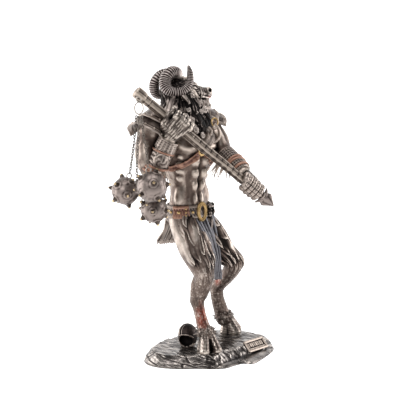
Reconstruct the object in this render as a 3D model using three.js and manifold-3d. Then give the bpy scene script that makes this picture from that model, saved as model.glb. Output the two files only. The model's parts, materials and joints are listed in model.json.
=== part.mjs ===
// A cold-cast bronze minotaur that carries a three-ball flail, on a rock base.
// Millimetres, +Z up. The viewer stands on the -Y side, with +X to the right.
// The origin is on the base's underside, under its middle.
import * as THREE from "three";
import { mergeVertices } from "three/addons/utils/BufferGeometryUtils.js";
import Module from "manifold-3d";

const wasm = await Module();
wasm.setup();

// Driving dimensions. A heading is in degrees: 0 faces the viewer, 90 faces the viewer's right.
const GAP = 0.35; // clearance between two castings that touch
const STAND = 12; // height of the pads that the hooves stand on
const CHEST_HEADING = 47;
const HIP_HEADING = 45;
const HEAD_HEADING = 115;
const HEAD_ROLL = -6;

const SHOULDER_R = [-48.6, -28, 225];
const ELBOW_R = [-49, -38, 184];
const WRIST_R = [-33, -44, 217];
const HAND_R = [-25, -44, 230];
const SHOULDER_L = [2, 29, 227];
const ELBOW_L = [19.5, 9, 199];
const WRIST_L = [36, -12, 183];
const HAND_L = [44, -18.5, 170];
const SKULL = [-26, 5.5, 262];

const SHAFT_TOP = [-62.8, -46, 260.4];
const SHAFT_LOW = [55, -16, 160.3];
const SPEAR_TIP = [65.9, -13, 151];
const SHAFT_RADIUS = 3.7;

const HOOF_R = [3.5, -28, STAND + GAP];
const HOOF_L = [26.5, 38, STAND + GAP];
const HOOF_HEADING_R = 22;
const HOOF_HEADING_L = 82;

// Vectors, headings and repeatable chance
const v = (x, y, z) => new THREE.Vector3(x, y, z);
const vec = (point) => v(...point);
const UP = v(0, 0, 1);
const DOWN = v(0, 0, -1);
const radians = THREE.MathUtils.degToRad;
const front = (heading) => v(Math.sin(radians(heading)), -Math.cos(radians(heading)), 0);
const left = (heading) => v(Math.cos(radians(heading)), Math.sin(radians(heading)), 0);
const between = (a, b, t) => a.clone().lerp(b, t);

// A point moved by any number of [direction, length] steps.
function walk(start, ...steps) {
  const point = start.clone();
  for (const [direction, length] of steps) point.addScaledVector(direction, length);
  return point;
}

// A repeatable stream of numbers from -1 to 1.
function jitter(seed) {
  let state = seed;
  return () => {
    state = (state * 16807) % 2147483647;
    return (state / 2147483647) * 2 - 1;
  };
}

// A closed skin over rings of equal length, with a fan from a pole over each end.
function skin(rings, startPole, endPole) {
  const sides = rings[0].length;
  const points = [...rings.flat(), startPole, endPole];
  const start = points.length - 2;
  const end = points.length - 1;
  const lastRing = (rings.length - 1) * sides;
  const faces = [];
  for (let k = 0; k < sides; k++) {
    const next = (k + 1) % sides;
    faces.push(start, next, k, end, lastRing + k, lastRing + next);
    for (let base = 0; base < lastRing; base += sides) {
      faces.push(base + k, base + next, base + sides + next);
      faces.push(base + k, base + sides + next, base + sides + k);
    }
  }
  const geometry = new THREE.BufferGeometry().setFromPoints(points);
  geometry.setIndex(faces);
  return geometry;
}

// A solid drawn through sections [x, y, z, half width, half depth]. The half width lies along
// `side`, and the half depth square to it. `swell` scales the outline by its angle and place.
function loft(sections, { sides = 8, rings = sections.length, side = null, swell = null, cap = 0.4 } = {}) {
  const path = new THREE.CatmullRomCurve3(sections.map(([x, y, z]) => v(x, y, z)));
  const sizes = new THREE.CatmullRomCurve3(sections.map(([, , , a, b = a]) => v(a, b, 0)));
  const skinRings = [];
  const poles = [];
  let across = side ?? (Math.abs(path.getTangent(0).z) > 0.8 ? v(1, 0, 0) : UP);
  for (let i = 0; i < rings; i++) {
    const t = i / (rings - 1);
    const at = path.getPoint(t);
    const along = path.getTangent(t);
    const size = sizes.getPoint(t);
    across = (side ?? across).clone().projectOnPlane(along).normalize();
    const square = along.clone().cross(across);
    const ring = [];
    for (let k = 0; k < sides; k++) {
      const turn = (2 * Math.PI * k) / sides;
      const scale = swell ? swell(turn, t) : 1;
      const [wide, deep] = [size.x * Math.cos(turn) * scale, size.y * Math.sin(turn) * scale];
      ring.push(walk(at, [across, wide], [square, deep]));
    }
    skinRings.push(ring);
    const out = cap * Math.min(size.x, size.y);
    if (i === 0) poles.push(walk(at, [along, -out]));
    if (i === rings - 1) poles.push(walk(at, [along, out]));
  }
  return skin(skinRings, ...poles);
}

// A spindle from one point to another, thickest in the middle: a muscle, a brow or a lip.
function bulge(from, to, radius, sides = 6) {
  const shares = [0.4, 1, 0.4];
  const sections = shares.map((share, i) => [...between(from, to, i / 2).toArray(), radius * share]);
  return loft(sections, { sides, rings: 4 });
}

// An ellipsoid with half sizes along his left, his front and up at a heading.
function blob(at, [a, b, c], heading = 0, detail = [7, 4]) {
  const geometry = new THREE.SphereGeometry(1, ...detail);
  geometry.rotateX(Math.PI / 2).scale(a, b, c).rotateZ(radians(heading));
  return geometry.translate(...at.toArray());
}

// A pyramid from a point along a direction.
function spike(at, along, length, radius, sides = 4) {
  const geometry = new THREE.ConeGeometry(radius, length, sides);
  geometry.translate(0, length / 2, 0);
  geometry.applyQuaternion(new THREE.Quaternion().setFromUnitVectors(v(0, 1, 0), along.clone().normalize()));
  return geometry.translate(...at.toArray());
}

// A ring of round wire whose hole looks along `axis`, stretched along `long`.
function ring(at, axis, radius, wire, { stretch = 1, long = UP, detail = [5, 12] } = {}) {
  const geometry = new THREE.TorusGeometry(radius, wire, ...detail);
  geometry.scale(1, stretch, 1);
  const through = axis.clone().normalize();
  const tall = long.clone().projectOnPlane(through).normalize();
  geometry.applyMatrix4(new THREE.Matrix4().makeBasis(tall.clone().cross(through), tall, through));
  return geometry.translate(...at.toArray());
}

// A closed plate of even thickness over a surface point(u, w), with u and w from 0 to 1.
function plate(point, across, down, thickness) {
  const STEP = 0.01;
  const outer = [];
  const inner = [];
  for (let j = 0; j <= down; j++) {
    for (let i = 0; i <= across; i++) {
      const [u, w] = [i / across, j / down];
      const along = point(Math.min(u + STEP, 1), w).sub(point(Math.max(u - STEP, 0), w));
      const fall = point(u, Math.min(w + STEP, 1)).sub(point(u, Math.max(w - STEP, 0)));
      const normal = fall.cross(along).normalize();
      outer.push(walk(point(u, w), [normal, thickness / 2]));
      inner.push(walk(point(u, w), [normal, -thickness / 2]));
    }
  }
  const row = across + 1;
  const count = outer.length;
  const faces = [];
  for (let j = 0; j < down; j++) {
    for (let i = 0; i < across; i++) {
      const a = j * row + i;
      const [b, c, d] = [a + 1, a + row, a + row + 1];
      faces.push(a, c, b, b, c, d);
      faces.push(count + a, count + b, count + c, count + b, count + d, count + c);
    }
  }
  const wall = (a, b) => faces.push(a, b, count + b, a, count + b, count + a);
  for (let i = 0; i < across; i++) {
    wall(i, i + 1);
    wall(down * row + i + 1, down * row + i);
  }
  for (let j = 0; j < down; j++) {
    wall((j + 1) * row, j * row);
    wall(j * row + across, (j + 1) * row + across);
  }
  const geometry = new THREE.BufferGeometry().setFromPoints([...outer, ...inner]);
  geometry.setIndex(faces);
  return geometry;
}

// Joining and cutting
function solid(geometry) {
  const bare = geometry.clone();
  bare.deleteAttribute("normal");
  bare.deleteAttribute("uv");
  const merged = mergeVertices(bare, 1e-4);
  const vertProperties = new Float32Array(merged.attributes.position.array);
  const triVerts = new Uint32Array(merged.index.array);
  return new wasm.Manifold(new wasm.Mesh({ numProp: 3, vertProperties, triVerts }));
}

function fuse(geometries) {
  return geometries.map(solid).reduce((whole, piece) => whole.add(piece));
}

function drawn(body) {
  const mesh = body.getMesh();
  const geometry = new THREE.BufferGeometry();
  geometry.setAttribute("position", new THREE.BufferAttribute(new Float32Array(mesh.vertProperties), 3));
  geometry.setIndex(new THREE.BufferAttribute(new Uint32Array(mesh.triVerts), 1));
  return geometry;
}

// Torso, from the crotch to the neck: height, centre, half width, half depth, heading
const TORSO = [
  [128, -14, 3, 17, 13, HIP_HEADING],
  [139, -15.5, 2, 23.5, 17, HIP_HEADING],
  [150, -16.5, 1, 21.5, 15.5, HIP_HEADING],
  [164, -16.5, 0.5, 19.5, 14, 44],
  [178, -17, 0, 21.5, 15, CHEST_HEADING],
  [191, -17.8, 0, 26.5, 18, CHEST_HEADING],
  [205, -19, 0, 31, 20, CHEST_HEADING],
  [218, -20.5, 1, 33, 18.5, CHEST_HEADING],
  [228, -21, 2, 28, 15, 48],
  [237, -22, 3, 17, 13, 52],
];

// Muscles as swellings: turn from his front, height, spread in degrees, spread in mm, lift.
const MUSCLES = [
  [27, 210, 20, 8, 6], // breast
  [0, 210, 8, 12, -2.5], // hollow of the breastbone
  [14, 193, 9, 4, 3.2], // three pairs of belly muscles
  [14, 181, 9, 4, 3.2],
  [14, 169, 9, 4.5, 3],
  [0, 178, 6, 24, -2.2], // the line between them
  [60, 158, 20, 8, 3.4], // flank
  [58, 194, 13, 4, 2.6], // ribs
  [60, 184, 13, 3.5, 2.2],
  [38, 182, 9, 14, -1.6], // hollow beside the belly
  [98, 206, 20, 14, 3], // side of the back
  [180, 190, 14, 32, -3], // hollow of the spine
  [145, 214, 18, 9, 3.4], // shoulder blade
  [150, 137, 22, 9, 4.5], // buttock
];

function relief(turn, height) {
  const side = Math.abs(((turn + 540) % 360) - 180);
  return MUSCLES.reduce((lift, [at, level, spread, tall, rise]) => {
    const far = ((side - at) / spread) ** 2 + ((height - level) / tall) ** 2;
    return lift + rise * Math.exp(-far);
  }, 0);
}

// The torso's centre, half sizes and heading at a height.
function torsoAt(height) {
  const last = TORSO.length - 2;
  const above = TORSO.findIndex(([z]) => z > height);
  const i = above < 0 ? last : Math.max(0, above - 1);
  const [low, high] = [TORSO[i], TORSO[i + 1]];
  const t = (height - low[0]) / (high[0] - low[0]);
  const [, x, y, wide, deep, heading] = low.map((value, k) => value + (high[k] - value) * t);
  return { centre: v(x, y, height), wide, deep, heading };
}

// A point on the torso: `turn` degrees from his front to his left, raised by `lift`.
function onTorso(turn, height, lift = 0) {
  const { centre, wide, deep, heading } = torsoAt(height);
  const [s, c] = [Math.sin(radians(turn)), Math.cos(radians(turn))];
  const out = lift + relief(turn, height);
  return walk(centre, [left(heading), s * (wide + out)], [front(heading), c * (deep + out)]);
}

function outOfTorso(turn, height) {
  return onTorso(turn, height, 1).sub(onTorso(turn, height)).normalize();
}

// The belt is a step in the torso's skin.
const BELT_FOOT = 140;
const BELT_TOP = 151.5;
const BELT_PROUD = 2.2;

function torso() {
  const TURNS = [0, 13, 27, 45, 68, 95, 124, 152, 180, 208, 236, 265, 292, 315, 333, 347];
  const BELLY = [163, 169, 175, 181, 187, 193, 199, 206, 213, 221, 229, 237];
  const band = [[BELT_FOOT - 1, 0], [BELT_FOOT, BELT_PROUD], [BELT_TOP, BELT_PROUD], [BELT_TOP + 1, 0]];
  const levels = [[128, 0], ...band, ...BELLY.map((height) => [height, 0])];
  const rows = levels.map(([height, lift]) => TURNS.map((turn) => onTorso(turn, height, lift)));
  const slopes = [-1, 1].map((s) => bulge(v(-22, 4, 243), walk(onTorso(s * 90, 225, -4), [UP, 4]), 9, 5));
  return [skin(rows, torsoAt(126).centre, torsoAt(238).centre), ...slopes];
}

// Head, in its own directions: along the nose, to his left and up
const HEAD_FRONT = front(HEAD_HEADING);
const HEAD_LEFT = left(HEAD_HEADING).applyAxisAngle(HEAD_FRONT, radians(HEAD_ROLL));
const HEAD_UP = HEAD_FRONT.clone().cross(HEAD_LEFT);

function inHead(forward, toLeft, up) {
  return walk(vec(SKULL), [HEAD_FRONT, forward], [HEAD_LEFT, toLeft], [HEAD_UP, up]);
}

function headLoft(sections, options) {
  const placed = sections.map(([f, l, u, ...size]) => [...inHead(f, l, u).toArray(), ...size]);
  return loft(placed, { side: HEAD_UP, ...options });
}

function skull() {
  const FACE = [
    // along the nose, aside, up, half height, half width
    [-10, 0, 0, 7, 7], [-3, 0, 0.5, 11.5, 11], [5, 0, -0.5, 12, 11], [12, 0, -2.5, 9.5, 9],
    [19, 0, -4, 7.6, 7.2], [26, 0, -4.5, 6.3, 6.8], [31, 0, -4.5, 5.6, 6.6], [34, 0, -4.5, 3.8, 5],
  ];
  const JAW = [[2, 0, -9, 7, 8], [14, 0, -12.5, 5.6, 6.2], [28.5, 0, -12.5, 3.6, 4.6]];
  const parts = [headLoft(FACE, { sides: 9 }), headLoft(JAW, { sides: 6 })];
  for (const s of [-1, 1]) {
    parts.push(bulge(inHead(7, s * 6, 6.5), inHead(15, s * 8, 2.5), 3.6, 4));
    parts.push(ear(s));
  }
  return parts;
}

// A leaf-shaped ear that hangs outwards and down.
function ear(s) {
  return headLoft([[-1, s * 8, -4, 3, 2], [1, s * 15, -9, 4.6, 2], [3, s * 20, -15, 1, 0.6]], { sides: 5 });
}

// A ridged ram's horn that curls once round: forward, outward, up and half thickness.
const HORN_ROOT = [-4.5, 8.5, 4];
const HORN = [
  [3, -3, 9, 5], [-1, 0, 11.5, 5.3], [-8, 2.5, 10, 5.3], [-13.5, 4, 4, 5.2], [-14.3, 5.5, -2, 5],
  [-12, 7.5, -6.5, 4.6], [-6.4, 9.5, -8.5, 3.8], [1, 11.5, -7.5, 3.4], [6, 13, -3, 3],
  [7.5, 13.8, 3, 2.7], [6.8, 14.4, 10, 2], [5.2, 14.8, 16, 0.6],
];
const HORN_RIDGES = 11;

function horn(s) {
  const [forward, aside, up] = HORN_ROOT;
  const sections = HORN.map(([f, out, u, half]) => [f + forward, s * (aside + out), u + up, half]);
  const rings = HORN_RIDGES * 2 + 1;
  const swell = (turn, t) => (Math.round(t * (rings - 1)) % 2 ? 1.07 : 0.89);
  return headLoft(sections, { sides: 5, rings, swell, side: HEAD_LEFT, cap: 1.2 });
}

// A lock of hair: a tapering lock that sags as it leaves its root.
function lock(root, along, length, radius, sag) {
  const sections = [0, 0.5, 1].map((t, i) => {
    const at = walk(root, [along, length * t], [DOWN, length * sag * t * t]);
    return [...at.toArray(), radius * [1, 0.9, 0.15][i]];
  });
  return loft(sections, { sides: 4, rings: 3 });
}

// Hair mass with deep channels between its locks, ragged below.
function hairMass(sections, side, locks) {
  const swell = (turn, t) => 1 + 0.12 * Math.cos(locks * turn + 2 * t);
  return loft(sections, { sides: locks * 2, rings: sections.length + 1, side, swell, cap: 0.3 });
}

function mane() {
  const wild = jitter(11);
  const back = HEAD_FRONT.clone().negate();
  const mass = [
    [-32, 1, 266, 8, 9], [-35, 1, 255, 9, 12], [-36, 4, 243, 9, 15], [-36, 6, 232, 6, 15],
    [-37, 8, 222, 2.5, 11],
  ];
  const parts = [hairMass(mass, HEAD_FRONT, 5)];
  for (const [row, s] of [[0, 0], [1, -1], [2, 1]]) {
    const root = walk(vec(SKULL), [back, 8 + row], [HEAD_LEFT, s * 7], [UP, 3 - row * 8]);
    const along = walk(back, [HEAD_LEFT, s * 0.5 + wild() * 0.2], [DOWN, 0.9]).normalize();
    parts.push(lock(root, along, 17 + wild() * 2, 4.6, 0.3));
  }
  for (const s of [-1, 1]) {
    const along = walk(DOWN, [HEAD_LEFT, s * 0.35], [HEAD_FRONT, 0.3]).normalize();
    parts.push(lock(inHead(3, s * 8, -8), along, 17, 4.4, 0.2));
  }
  return parts;
}

function beard() {
  const chin = inHead(20, 0, -13);
  const chest = onTorso(8, 210, 0);
  const middle = walk(between(chin, chest, 0.5), [front(HIP_HEADING), 3]);
  const mass = [[...chin.toArray(), 4.5, 5], [...middle.toArray(), 7, 9], [...chest.toArray(), 3.5, 6]];
  const parts = [hairMass(mass, front(HIP_HEADING), 5)];
  for (const [turn, length] of [[-24, 20], [-8, 26], [12, 30], [30, 22]]) {
    const along = walk(DOWN, [front(CHEST_HEADING), 0.3]).normalize();
    parts.push(lock(walk(onTorso(turn, 232, -1), [UP, 3]), along, length, 4.6, 0));
  }
  return parts;
}

function neck() {
  const sections = [[-19.5, 2, 226, 16, 14], [-22, 3.5, 240, 14.5, 13.5], [-25, 5, 256, 11.5, 11.5]];
  return [loft(sections, { sides: 8, side: left(60) })];
}

// Arms, with the cuffs of the bracers as steps in the forearm: share of its length, radius
function rightArm() {
  const upper = [[...SHOULDER_R, 12.5], [-53, -30, 212, 12.2], [-54, -34, 198, 11], [...ELBOW_R, 9.5]];
  const steps = [
    [0, 9.6], [0.1, 11.8], [0.25, 11.8], [0.32, 10], [0.6, 9.6], [0.72, 8.8], [0.75, 10.4], [0.98, 9.6],
    [1, 7.6], [1.2, 7],
  ];
  return [
    shoulder(SHOULDER_R, 14.5),
    loft(upper, { sides: 8, rings: 5 }),
    bulge(v(-57, -37, 218), v(-52, -42, 190), 8, 5),
    forearm(ELBOW_R, WRIST_R, steps),
    blob(walk(between(vec(ELBOW_R), vec(WRIST_R), 0.56), [v(0.25, -1, 0.1), 8]), [7.5, 4, 7.5], 10),
    ...fringe(ELBOW_R, WRIST_R, [45, 95]),
  ];
}

function leftArm() {
  const upper = [[...SHOULDER_L, 11.5], [9, 21, 214, 10.4], [...ELBOW_L, 8.6]];
  const steps = [
    [0, 9], [0.08, 10.8], [0.24, 10.8], [0.3, 9.4], [0.48, 9.4], [0.52, 10.3], [0.66, 10.3], [0.7, 8.6],
    [0.8, 9.4], [1, 9.2], [1.02, 7.4], [1.2, 6.8],
  ];
  return [
    shoulder(SHOULDER_L, 14.8),
    loft(upper, { sides: 8, rings: 4 }),
    forearm(ELBOW_L, WRIST_L, steps),
    ...fringe(ELBOW_L, WRIST_L, [-60, -5]),
  ];
}

// The round of a shoulder, reaching into the chest.
function shoulder(at, radius) {
  return loft([[...torsoAt(218).centre.toArray(), radius], [...at, radius]], { sides: 7 });
}

function forearm(elbow, wrist, steps) {
  const [from, to] = [vec(elbow), vec(wrist)];
  const along = to.clone().sub(from).normalize();
  const side = v(0, -1, 0).projectOnPlane(along).normalize();
  const square = along.clone().cross(side);
  const rows = steps.map(([t, radius]) => {
    const row = [];
    for (let k = 0; k < 8; k++) {
      const turn = radians(45 * k);
      const [near, over] = [Math.cos(turn) * radius, Math.sin(turn) * radius];
      row.push(walk(between(from, to, t), [side, near], [square, over]));
    }
    return row;
  });
  const reach = steps[steps.length - 1][0];
  return skin(rows, walk(from, [along, -4]), walk(between(from, to, reach), [along, 3]));
}

// Leather strands that hang from the elbow end of a bracer.
function fringe(elbow, wrist, headings) {
  const root = between(vec(elbow), vec(wrist), 0.15);
  return headings.map((heading) => {
    const out = front(heading);
    return spike(walk(root, [out, 6.5]), walk(v(0, 0, -1), [out, 0.3]), 15, 3.2);
  });
}

// Hands: a fist of four finger ridges round the shaft, a palm and a thumb
const SHAFT = vec(SPEAR_TIP).sub(vec(SHAFT_TOP)).normalize();
const NEAR = v(0, -1, 0).projectOnPlane(SHAFT).normalize(); // square to the shaft, towards the viewer
const OVER = NEAR.clone().cross(SHAFT).normalize(); // square to the shaft, upwards

function fist(hand, reach, finger) {
  const shares = [0.72, 1, 0.82, 1, 0.82, 1, 0.82, 1, 0.72];
  const rows = shares.map((share, i) => {
    const centre = walk(hand, [SHAFT, (i - 4) * (finger / 2)]);
    const row = [];
    for (let k = 0; k < 7; k++) {
      const turn = radians((360 / 7) * k);
      row.push(walk(centre, [NEAR, Math.cos(turn) * reach * share], [OVER, -Math.sin(turn) * reach * share]));
    }
    return row;
  });
  const end = finger * 2.2;
  return skin(rows, walk(hand, [SHAFT, -end]), walk(hand, [SHAFT, end]));
}

function rightHand() {
  const hand = vec(HAND_R);
  const thumb = [
    walk(hand, [NEAR, -5], [OVER, -6], [SHAFT, -6]),
    walk(hand, [NEAR, -7], [OVER, 5], [SHAFT, -8]),
    v(-28, -41, 246.5),
  ];
  return [
    fist(walk(hand, [NEAR, 1], [SHAFT, 1]), 9.6, 5.8),
    blob(walk(hand, [NEAR, -1], [OVER, -7]), [9, 6.5, 8], 10, [6, 4]),
    loft(thumb.map((at, i) => [...at.toArray(), [4.6, 3.8, 1.8][i]]), { sides: 5 }),
  ];
}

function leftHand() {
  const hand = vec(HAND_L);
  const thumb = [
    walk(hand, [NEAR, -4.5], [OVER, 2], [SHAFT, -9.5]),
    walk(hand, [NEAR, 1.8], [OVER, -5.6], [SHAFT, -9.5]),
    walk(hand, [NEAR, 5], [OVER, -3.4], [SHAFT, -7]),
  ];
  return [
    fist(walk(hand, [NEAR, 1], [SHAFT, 0.5]), 8.1, 5.1),
    blob(walk(hand, [NEAR, -2.6], [OVER, 4.6], [SHAFT, -4]), [7.2, 6.8, 7.8], 40, [6, 4]),
    loft(thumb.map((at, i) => [...at.toArray(), [3.8, 3.4, 2.6][i]]), { sides: 5 }),
  ];
}

// Shoulder armour: arched lames that lie over each other and flare at the edge.
function pauldron(shoulder, s, { slant, radius, lames, arch }) {
  const outward = left(CHEST_HEADING).multiplyScalar(s);
  const axis = walk(v(0, 0, -Math.sin(radians(slant))), [outward, Math.cos(radians(slant))]);
  const crest = walk(v(0, 0, Math.cos(radians(slant))), [outward, Math.sin(radians(slant))]);
  const chest = front(CHEST_HEADING);
  return lames.map(([start, length, flare]) => {
    const surface = (u, w) => {
      const turn = radians(arch[0] + (arch[1] - arch[0]) * u);
      const reach = radius + flare * w * w;
      const slide = start + length * w;
      const [rise, ahead] = [Math.cos(turn) * reach, Math.sin(turn) * reach];
      return walk(vec(shoulder), [axis, slide], [crest, rise], [chest, ahead]);
    };
    const facing = s < 0 ? surface : (u, w) => surface(1 - u, w);
    return plate(facing, 6, 1, 2.4);
  });
}

function armour() {
  // each lame's start and length down the arm, and how far it flares
  const right = { slant: 46, radius: 16, lames: [[-13, 11, 1.5], [-5, 15, 4]], arch: [-85, 88] };
  const left = { slant: 34, radius: 13.6, lames: [[-12, 9, 1], [-5.2, 13, 3]], arch: [-82, 80] };
  return [...pauldron(SHOULDER_R, -1, right), ...pauldron(SHOULDER_L, 1, left)];
}

// Legs: sections down the limb, with the half width in the leg's own plane
function rightLeg() {
  const plane = front(48);
  const limb = [
    [-20, -6, 147, 13, 13], [-20.5, -9, 137, 15, 14], [-17, -12, 124, 15.5, 13], [-12, -16, 111, 15.5, 13],
    [-6.5, -19, 100, 14, 12], [-1.5, -22, 89, 11.5, 10], [-1.5, -20.5, 79, 9.5, 8.8],
    [-4, -17, 69, 8.5, 7.4], [-7, -13, 59.5, 7, 6.4], [-6, -15, 51, 6, 5.6], [-3.5, -18.5, 41, 6, 5.8],
    [1.5, -24.5, 26, 7.2, 7],
  ];
  return [
    loft(limb, { sides: 8, side: plane, swell: haunch }),
    hockTuft([-9, -9, 60], plane),
    fetlockCuff([0.5, -23.5, 29], 8.2),
    hoof(HOOF_R, HOOF_HEADING_R),
  ];
}

function leftLeg() {
  const plane = front(80);
  const limb = [
    [-8, 12, 146, 13, 13], [-5, 14, 134, 14, 13], [2.5, 14, 122, 13.5, 12.5], [10.5, 13, 111, 12.5, 12],
    [19.5, 11.5, 101, 12, 11.5], [28, 11, 92, 10.5, 10], [26, 15.5, 82, 8.6, 8], [20, 23, 72, 7.6, 7],
    [13, 29.5, 62, 7, 6.5], [12.5, 31, 53, 6.8, 6], [15, 32, 42, 7.2, 6], [20, 34.5, 27, 8.6, 7.5],
  ];
  return [
    loft(limb, { sides: 8, side: plane, swell: haunch }),
    ...kneeTuft(),
    hockTuft([8, 33, 62], plane),
    fetlockCuff([19.5, 34.5, 30], 9),
    hoof(HOOF_L, HOOF_HEADING_L),
  ];
}

// Furrows between the muscles, deepest on the thigh.
function haunch(turn, t) {
  return 1 + 0.08 * Math.max(0, 1 - 1.6 * t) * Math.cos(4 * turn + 5 * t);
}

function kneeTuft() {
  const tips = [[0.9, -0.1, 0.6], [0.9, -0.4, 0.05]];
  return tips.map((tip) => spike(v(32, 9.5, 92), vec(tip), 11, 4.5));
}

function hockTuft(at, forward) {
  return spike(vec(at), walk(v(0, 0, 0.2), [forward, -1]), 8.5, 4.5);
}

// A ragged cuff of fur round the fetlock, with points that hang and flare.
function fetlockCuff(at, radius) {
  const POINTS = 6;
  // rise, reach of the points, reach of the notches
  const ROWS = [[4, 0.75, 0.75], [-4.5, 1.3, 0.85], [-2, 0.6, 0.6]];
  const rows = ROWS.map(([rise, tip, notch]) => {
    const row = [];
    for (let k = 0; k < POINTS * 2; k++) {
      const out = front((-180 * k) / POINTS);
      const lift = k % 2 && rise < 0 ? 3 : 0;
      row.push(walk(vec(at), [out, radius * (k % 2 ? notch : tip)], [UP, rise + lift]));
    }
    return row;
  });
  return skin(rows, walk(vec(at), [UP, 5]), walk(vec(at), [UP, -1]));
}

// A cloven hoof: a flared block with a cleft at the toe, flat below.
function hoof(at, heading) {
  const CORNERS = 12;
  const TOE = CORNERS / 4;
  // forward, rise, half width, half length
  const ROWS = [[-5.5, 18, 7.8, 5.5], [-3, 9, 9.4, 8], [-0.8, 0, 11.2, 10.2]];
  const foot = vec(at);
  const [toe, aside] = [front(heading), left(heading)];
  const rows = ROWS.map(([forward, rise, wide, long]) => {
    const row = [];
    for (let k = 0; k < CORNERS; k++) {
      const turn = (2 * Math.PI * k) / CORNERS;
      const reach = k === TOE ? 0.66 : 1;
      const ahead = forward + Math.sin(turn) * long * reach;
      row.push(walk(foot, [toe, ahead], [aside, Math.cos(turn) * wide], [UP, rise]));
    }
    return row;
  });
  const [[back, top], , [sole]] = ROWS;
  return skin(rows, walk(foot, [toe, back], [UP, top + 1]), walk(foot, [toe, sole]));
}

// Metal on the belt: studs, an oval buckle and an ornament
function beltMetal() {
  const middle = (BELT_FOOT + BELT_TOP) / 2;
  const studs = [-60, -42, -25].map((turn) => {
    return new THREE.OctahedronGeometry(2.2).translate(...onTorso(turn, middle, BELT_PROUD).toArray());
  });
  const oval = { stretch: 1.6, detail: [4, 9] };
  const buckle = ring(onTorso(-2, middle, 3.4), outOfTorso(-2, middle), 5.6, 2.2, oval);
  return [...studs, buckle, ...ornament()];
}

// A knotted mask that hangs beside the buckle.
function ornament() {
  const KNOTS = [[26, 147, 5.5, 7], [27, 136, 3.4, 5]];
  return KNOTS.map(([turn, height, wide, tall]) => {
    return blob(onTorso(turn, height, 3), [wide, 4.5, tall], 60, [6, 4]);
  });
}

// Cloth: a hanging panel between two edges, with folds that run down it
function panel(leftEdge, rightEdge, out, folds, depth, grid) {
  const [a, b] = [leftEdge, rightEdge].map((edge) => new THREE.CatmullRomCurve3(edge.map(vec)));
  const surface = (u, w) => {
    const at = between(a.getPoint(w), b.getPoint(w), u);
    return walk(at, [out, depth * (0.4 + 0.6 * w) * Math.cos(2 * Math.PI * folds * u)]);
  };
  return plate(surface, ...grid, 2.2);
}

function loincloth() {
  const FRONT_LEFT = [[-15, -20, 143], [-7, -21, 128], [3, -16, 112], [9, -9, 95], [10, -6, 79]];
  const FRONT_RIGHT = [[8, 2, 143], [11.5, -1, 126], [13.5, -3, 108], [14.5, -4, 92], [15.5, -3, 79]];
  const BACK_LEFT = [[-37, 3, 143], [-40, 9, 125], [-47, 15, 109]];
  const BACK_RIGHT = [[-14, 25, 143], [-20, 30, 125], [-28, 34, 107]];
  return [
    panel(FRONT_LEFT, FRONT_RIGHT, front(50), 1.5, 1.8, [6, 3]),
    panel(BACK_LEFT, BACK_RIGHT, front(225), 1, 2, [4, 2]),
  ];
}

// Harness: straps over the chest and back that meet at rings
function strap(route, halfWidth) {
  const sections = route.map(([turn, height]) => [...onTorso(turn, height, 0.6).toArray(), 2.2, halfWidth]);
  const middle = route[Math.floor(route.length / 2)];
  return loft(sections, { sides: 4, side: outOfTorso(...middle), cap: 0.1 });
}

function harness() {
  const shoulder = walk(onTorso(40, 226, 3), [UP, 2]);
  return [
    ring(onTorso(0, 204, 4), outOfTorso(0, 204), 4.2, 1.4, { detail: [3, 9] }),
    ring(shoulder, outOfTorso(20, 222), 4.2, 1.4, { stretch: 1.2, detail: [3, 9] }),
    strap([[-8, 202], [-30, 194], [-55, 190], [-85, 188]], 3.6),
    strap([[8, 202], [30, 194], [55, 191], [85, 189]], 3.4),
    strap([[-6, 208], [-22, 216], [-42, 224]], 3.2),
  ];
}

// The whole figure, with a tunnel through both fists for the shaft.
function minotaur() {
  const body = fuse([
    ...torso(),
    ...neck(),
    ...skull(),
    horn(-1),
    horn(1),
    ...mane(),
    ...beard(),
    ...rightArm(),
    ...leftArm(),
    ...rightHand(),
    ...leftHand(),
    ...armour(),
    ...rightLeg(),
    ...leftLeg(),
    ...beltMetal(),
    ...loincloth(),
    ...harness(),
  ]);
  return body.subtract(solid(shaftBar(GAP)));
}

// Flail shaft: an eight-sided bar that thins towards the spear point
function shaftBar(clearance) {
  // share of its length, and how much thicker it is there
  const ROWS = [[0, 0.8], [0.1, 0.1], [0.3, 0], [0.45, 0.4], [0.9, -0.5], [1, -0.8]];
  const [top, low] = [vec(SHAFT_TOP), vec(SHAFT_LOW)];
  const sections = ROWS.map(([t, more]) => {
    return [...between(top, low, t).toArray(), SHAFT_RADIUS + more + clearance];
  });
  return loft(sections, { sides: 8, cap: 0.3 });
}

const EYE = walk(vec(SHAFT_TOP), [SHAFT, 5.5], [OVER, -3.2], [NEAR, 4]);

function flailShaft() {
  const low = vec(SHAFT_LOW);
  const blade = [
    [...walk(low, [SHAFT, -1]).toArray(), 4.6, 2.6],
    [...walk(low, [SHAFT, 3]).toArray(), 7, 2.2],
    [...SPEAR_TIP, 0.5, 0.4],
  ];
  const barbs = [-1, 1].map((s) => {
    const side = OVER.clone().multiplyScalar(s);
    return spike(walk(low, [SHAFT, 1.2], [side, 2]), walk(side, [SHAFT, -0.45]), 8.5, 2.4);
  });
  const eye = ring(EYE, NEAR, 2.1, 0.9, { detail: [3, 7] });
  return fuse([shaftBar(0), loft(blade, { sides: 4, side: OVER }), ...barbs, eye]);
}

// Ring, chains and balls
const RING_RADIUS = 3.9;
const RING_STRETCH = 1.4;
const RING_TALL = RING_RADIUS * RING_STRETCH;
const RING_CENTRE = walk(EYE, [DOWN, RING_TALL + 2.4 + GAP], [NEAR, 0.4]);
const RING_FOOT = walk(RING_CENTRE, [DOWN, RING_TALL + 1.4]);

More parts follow.
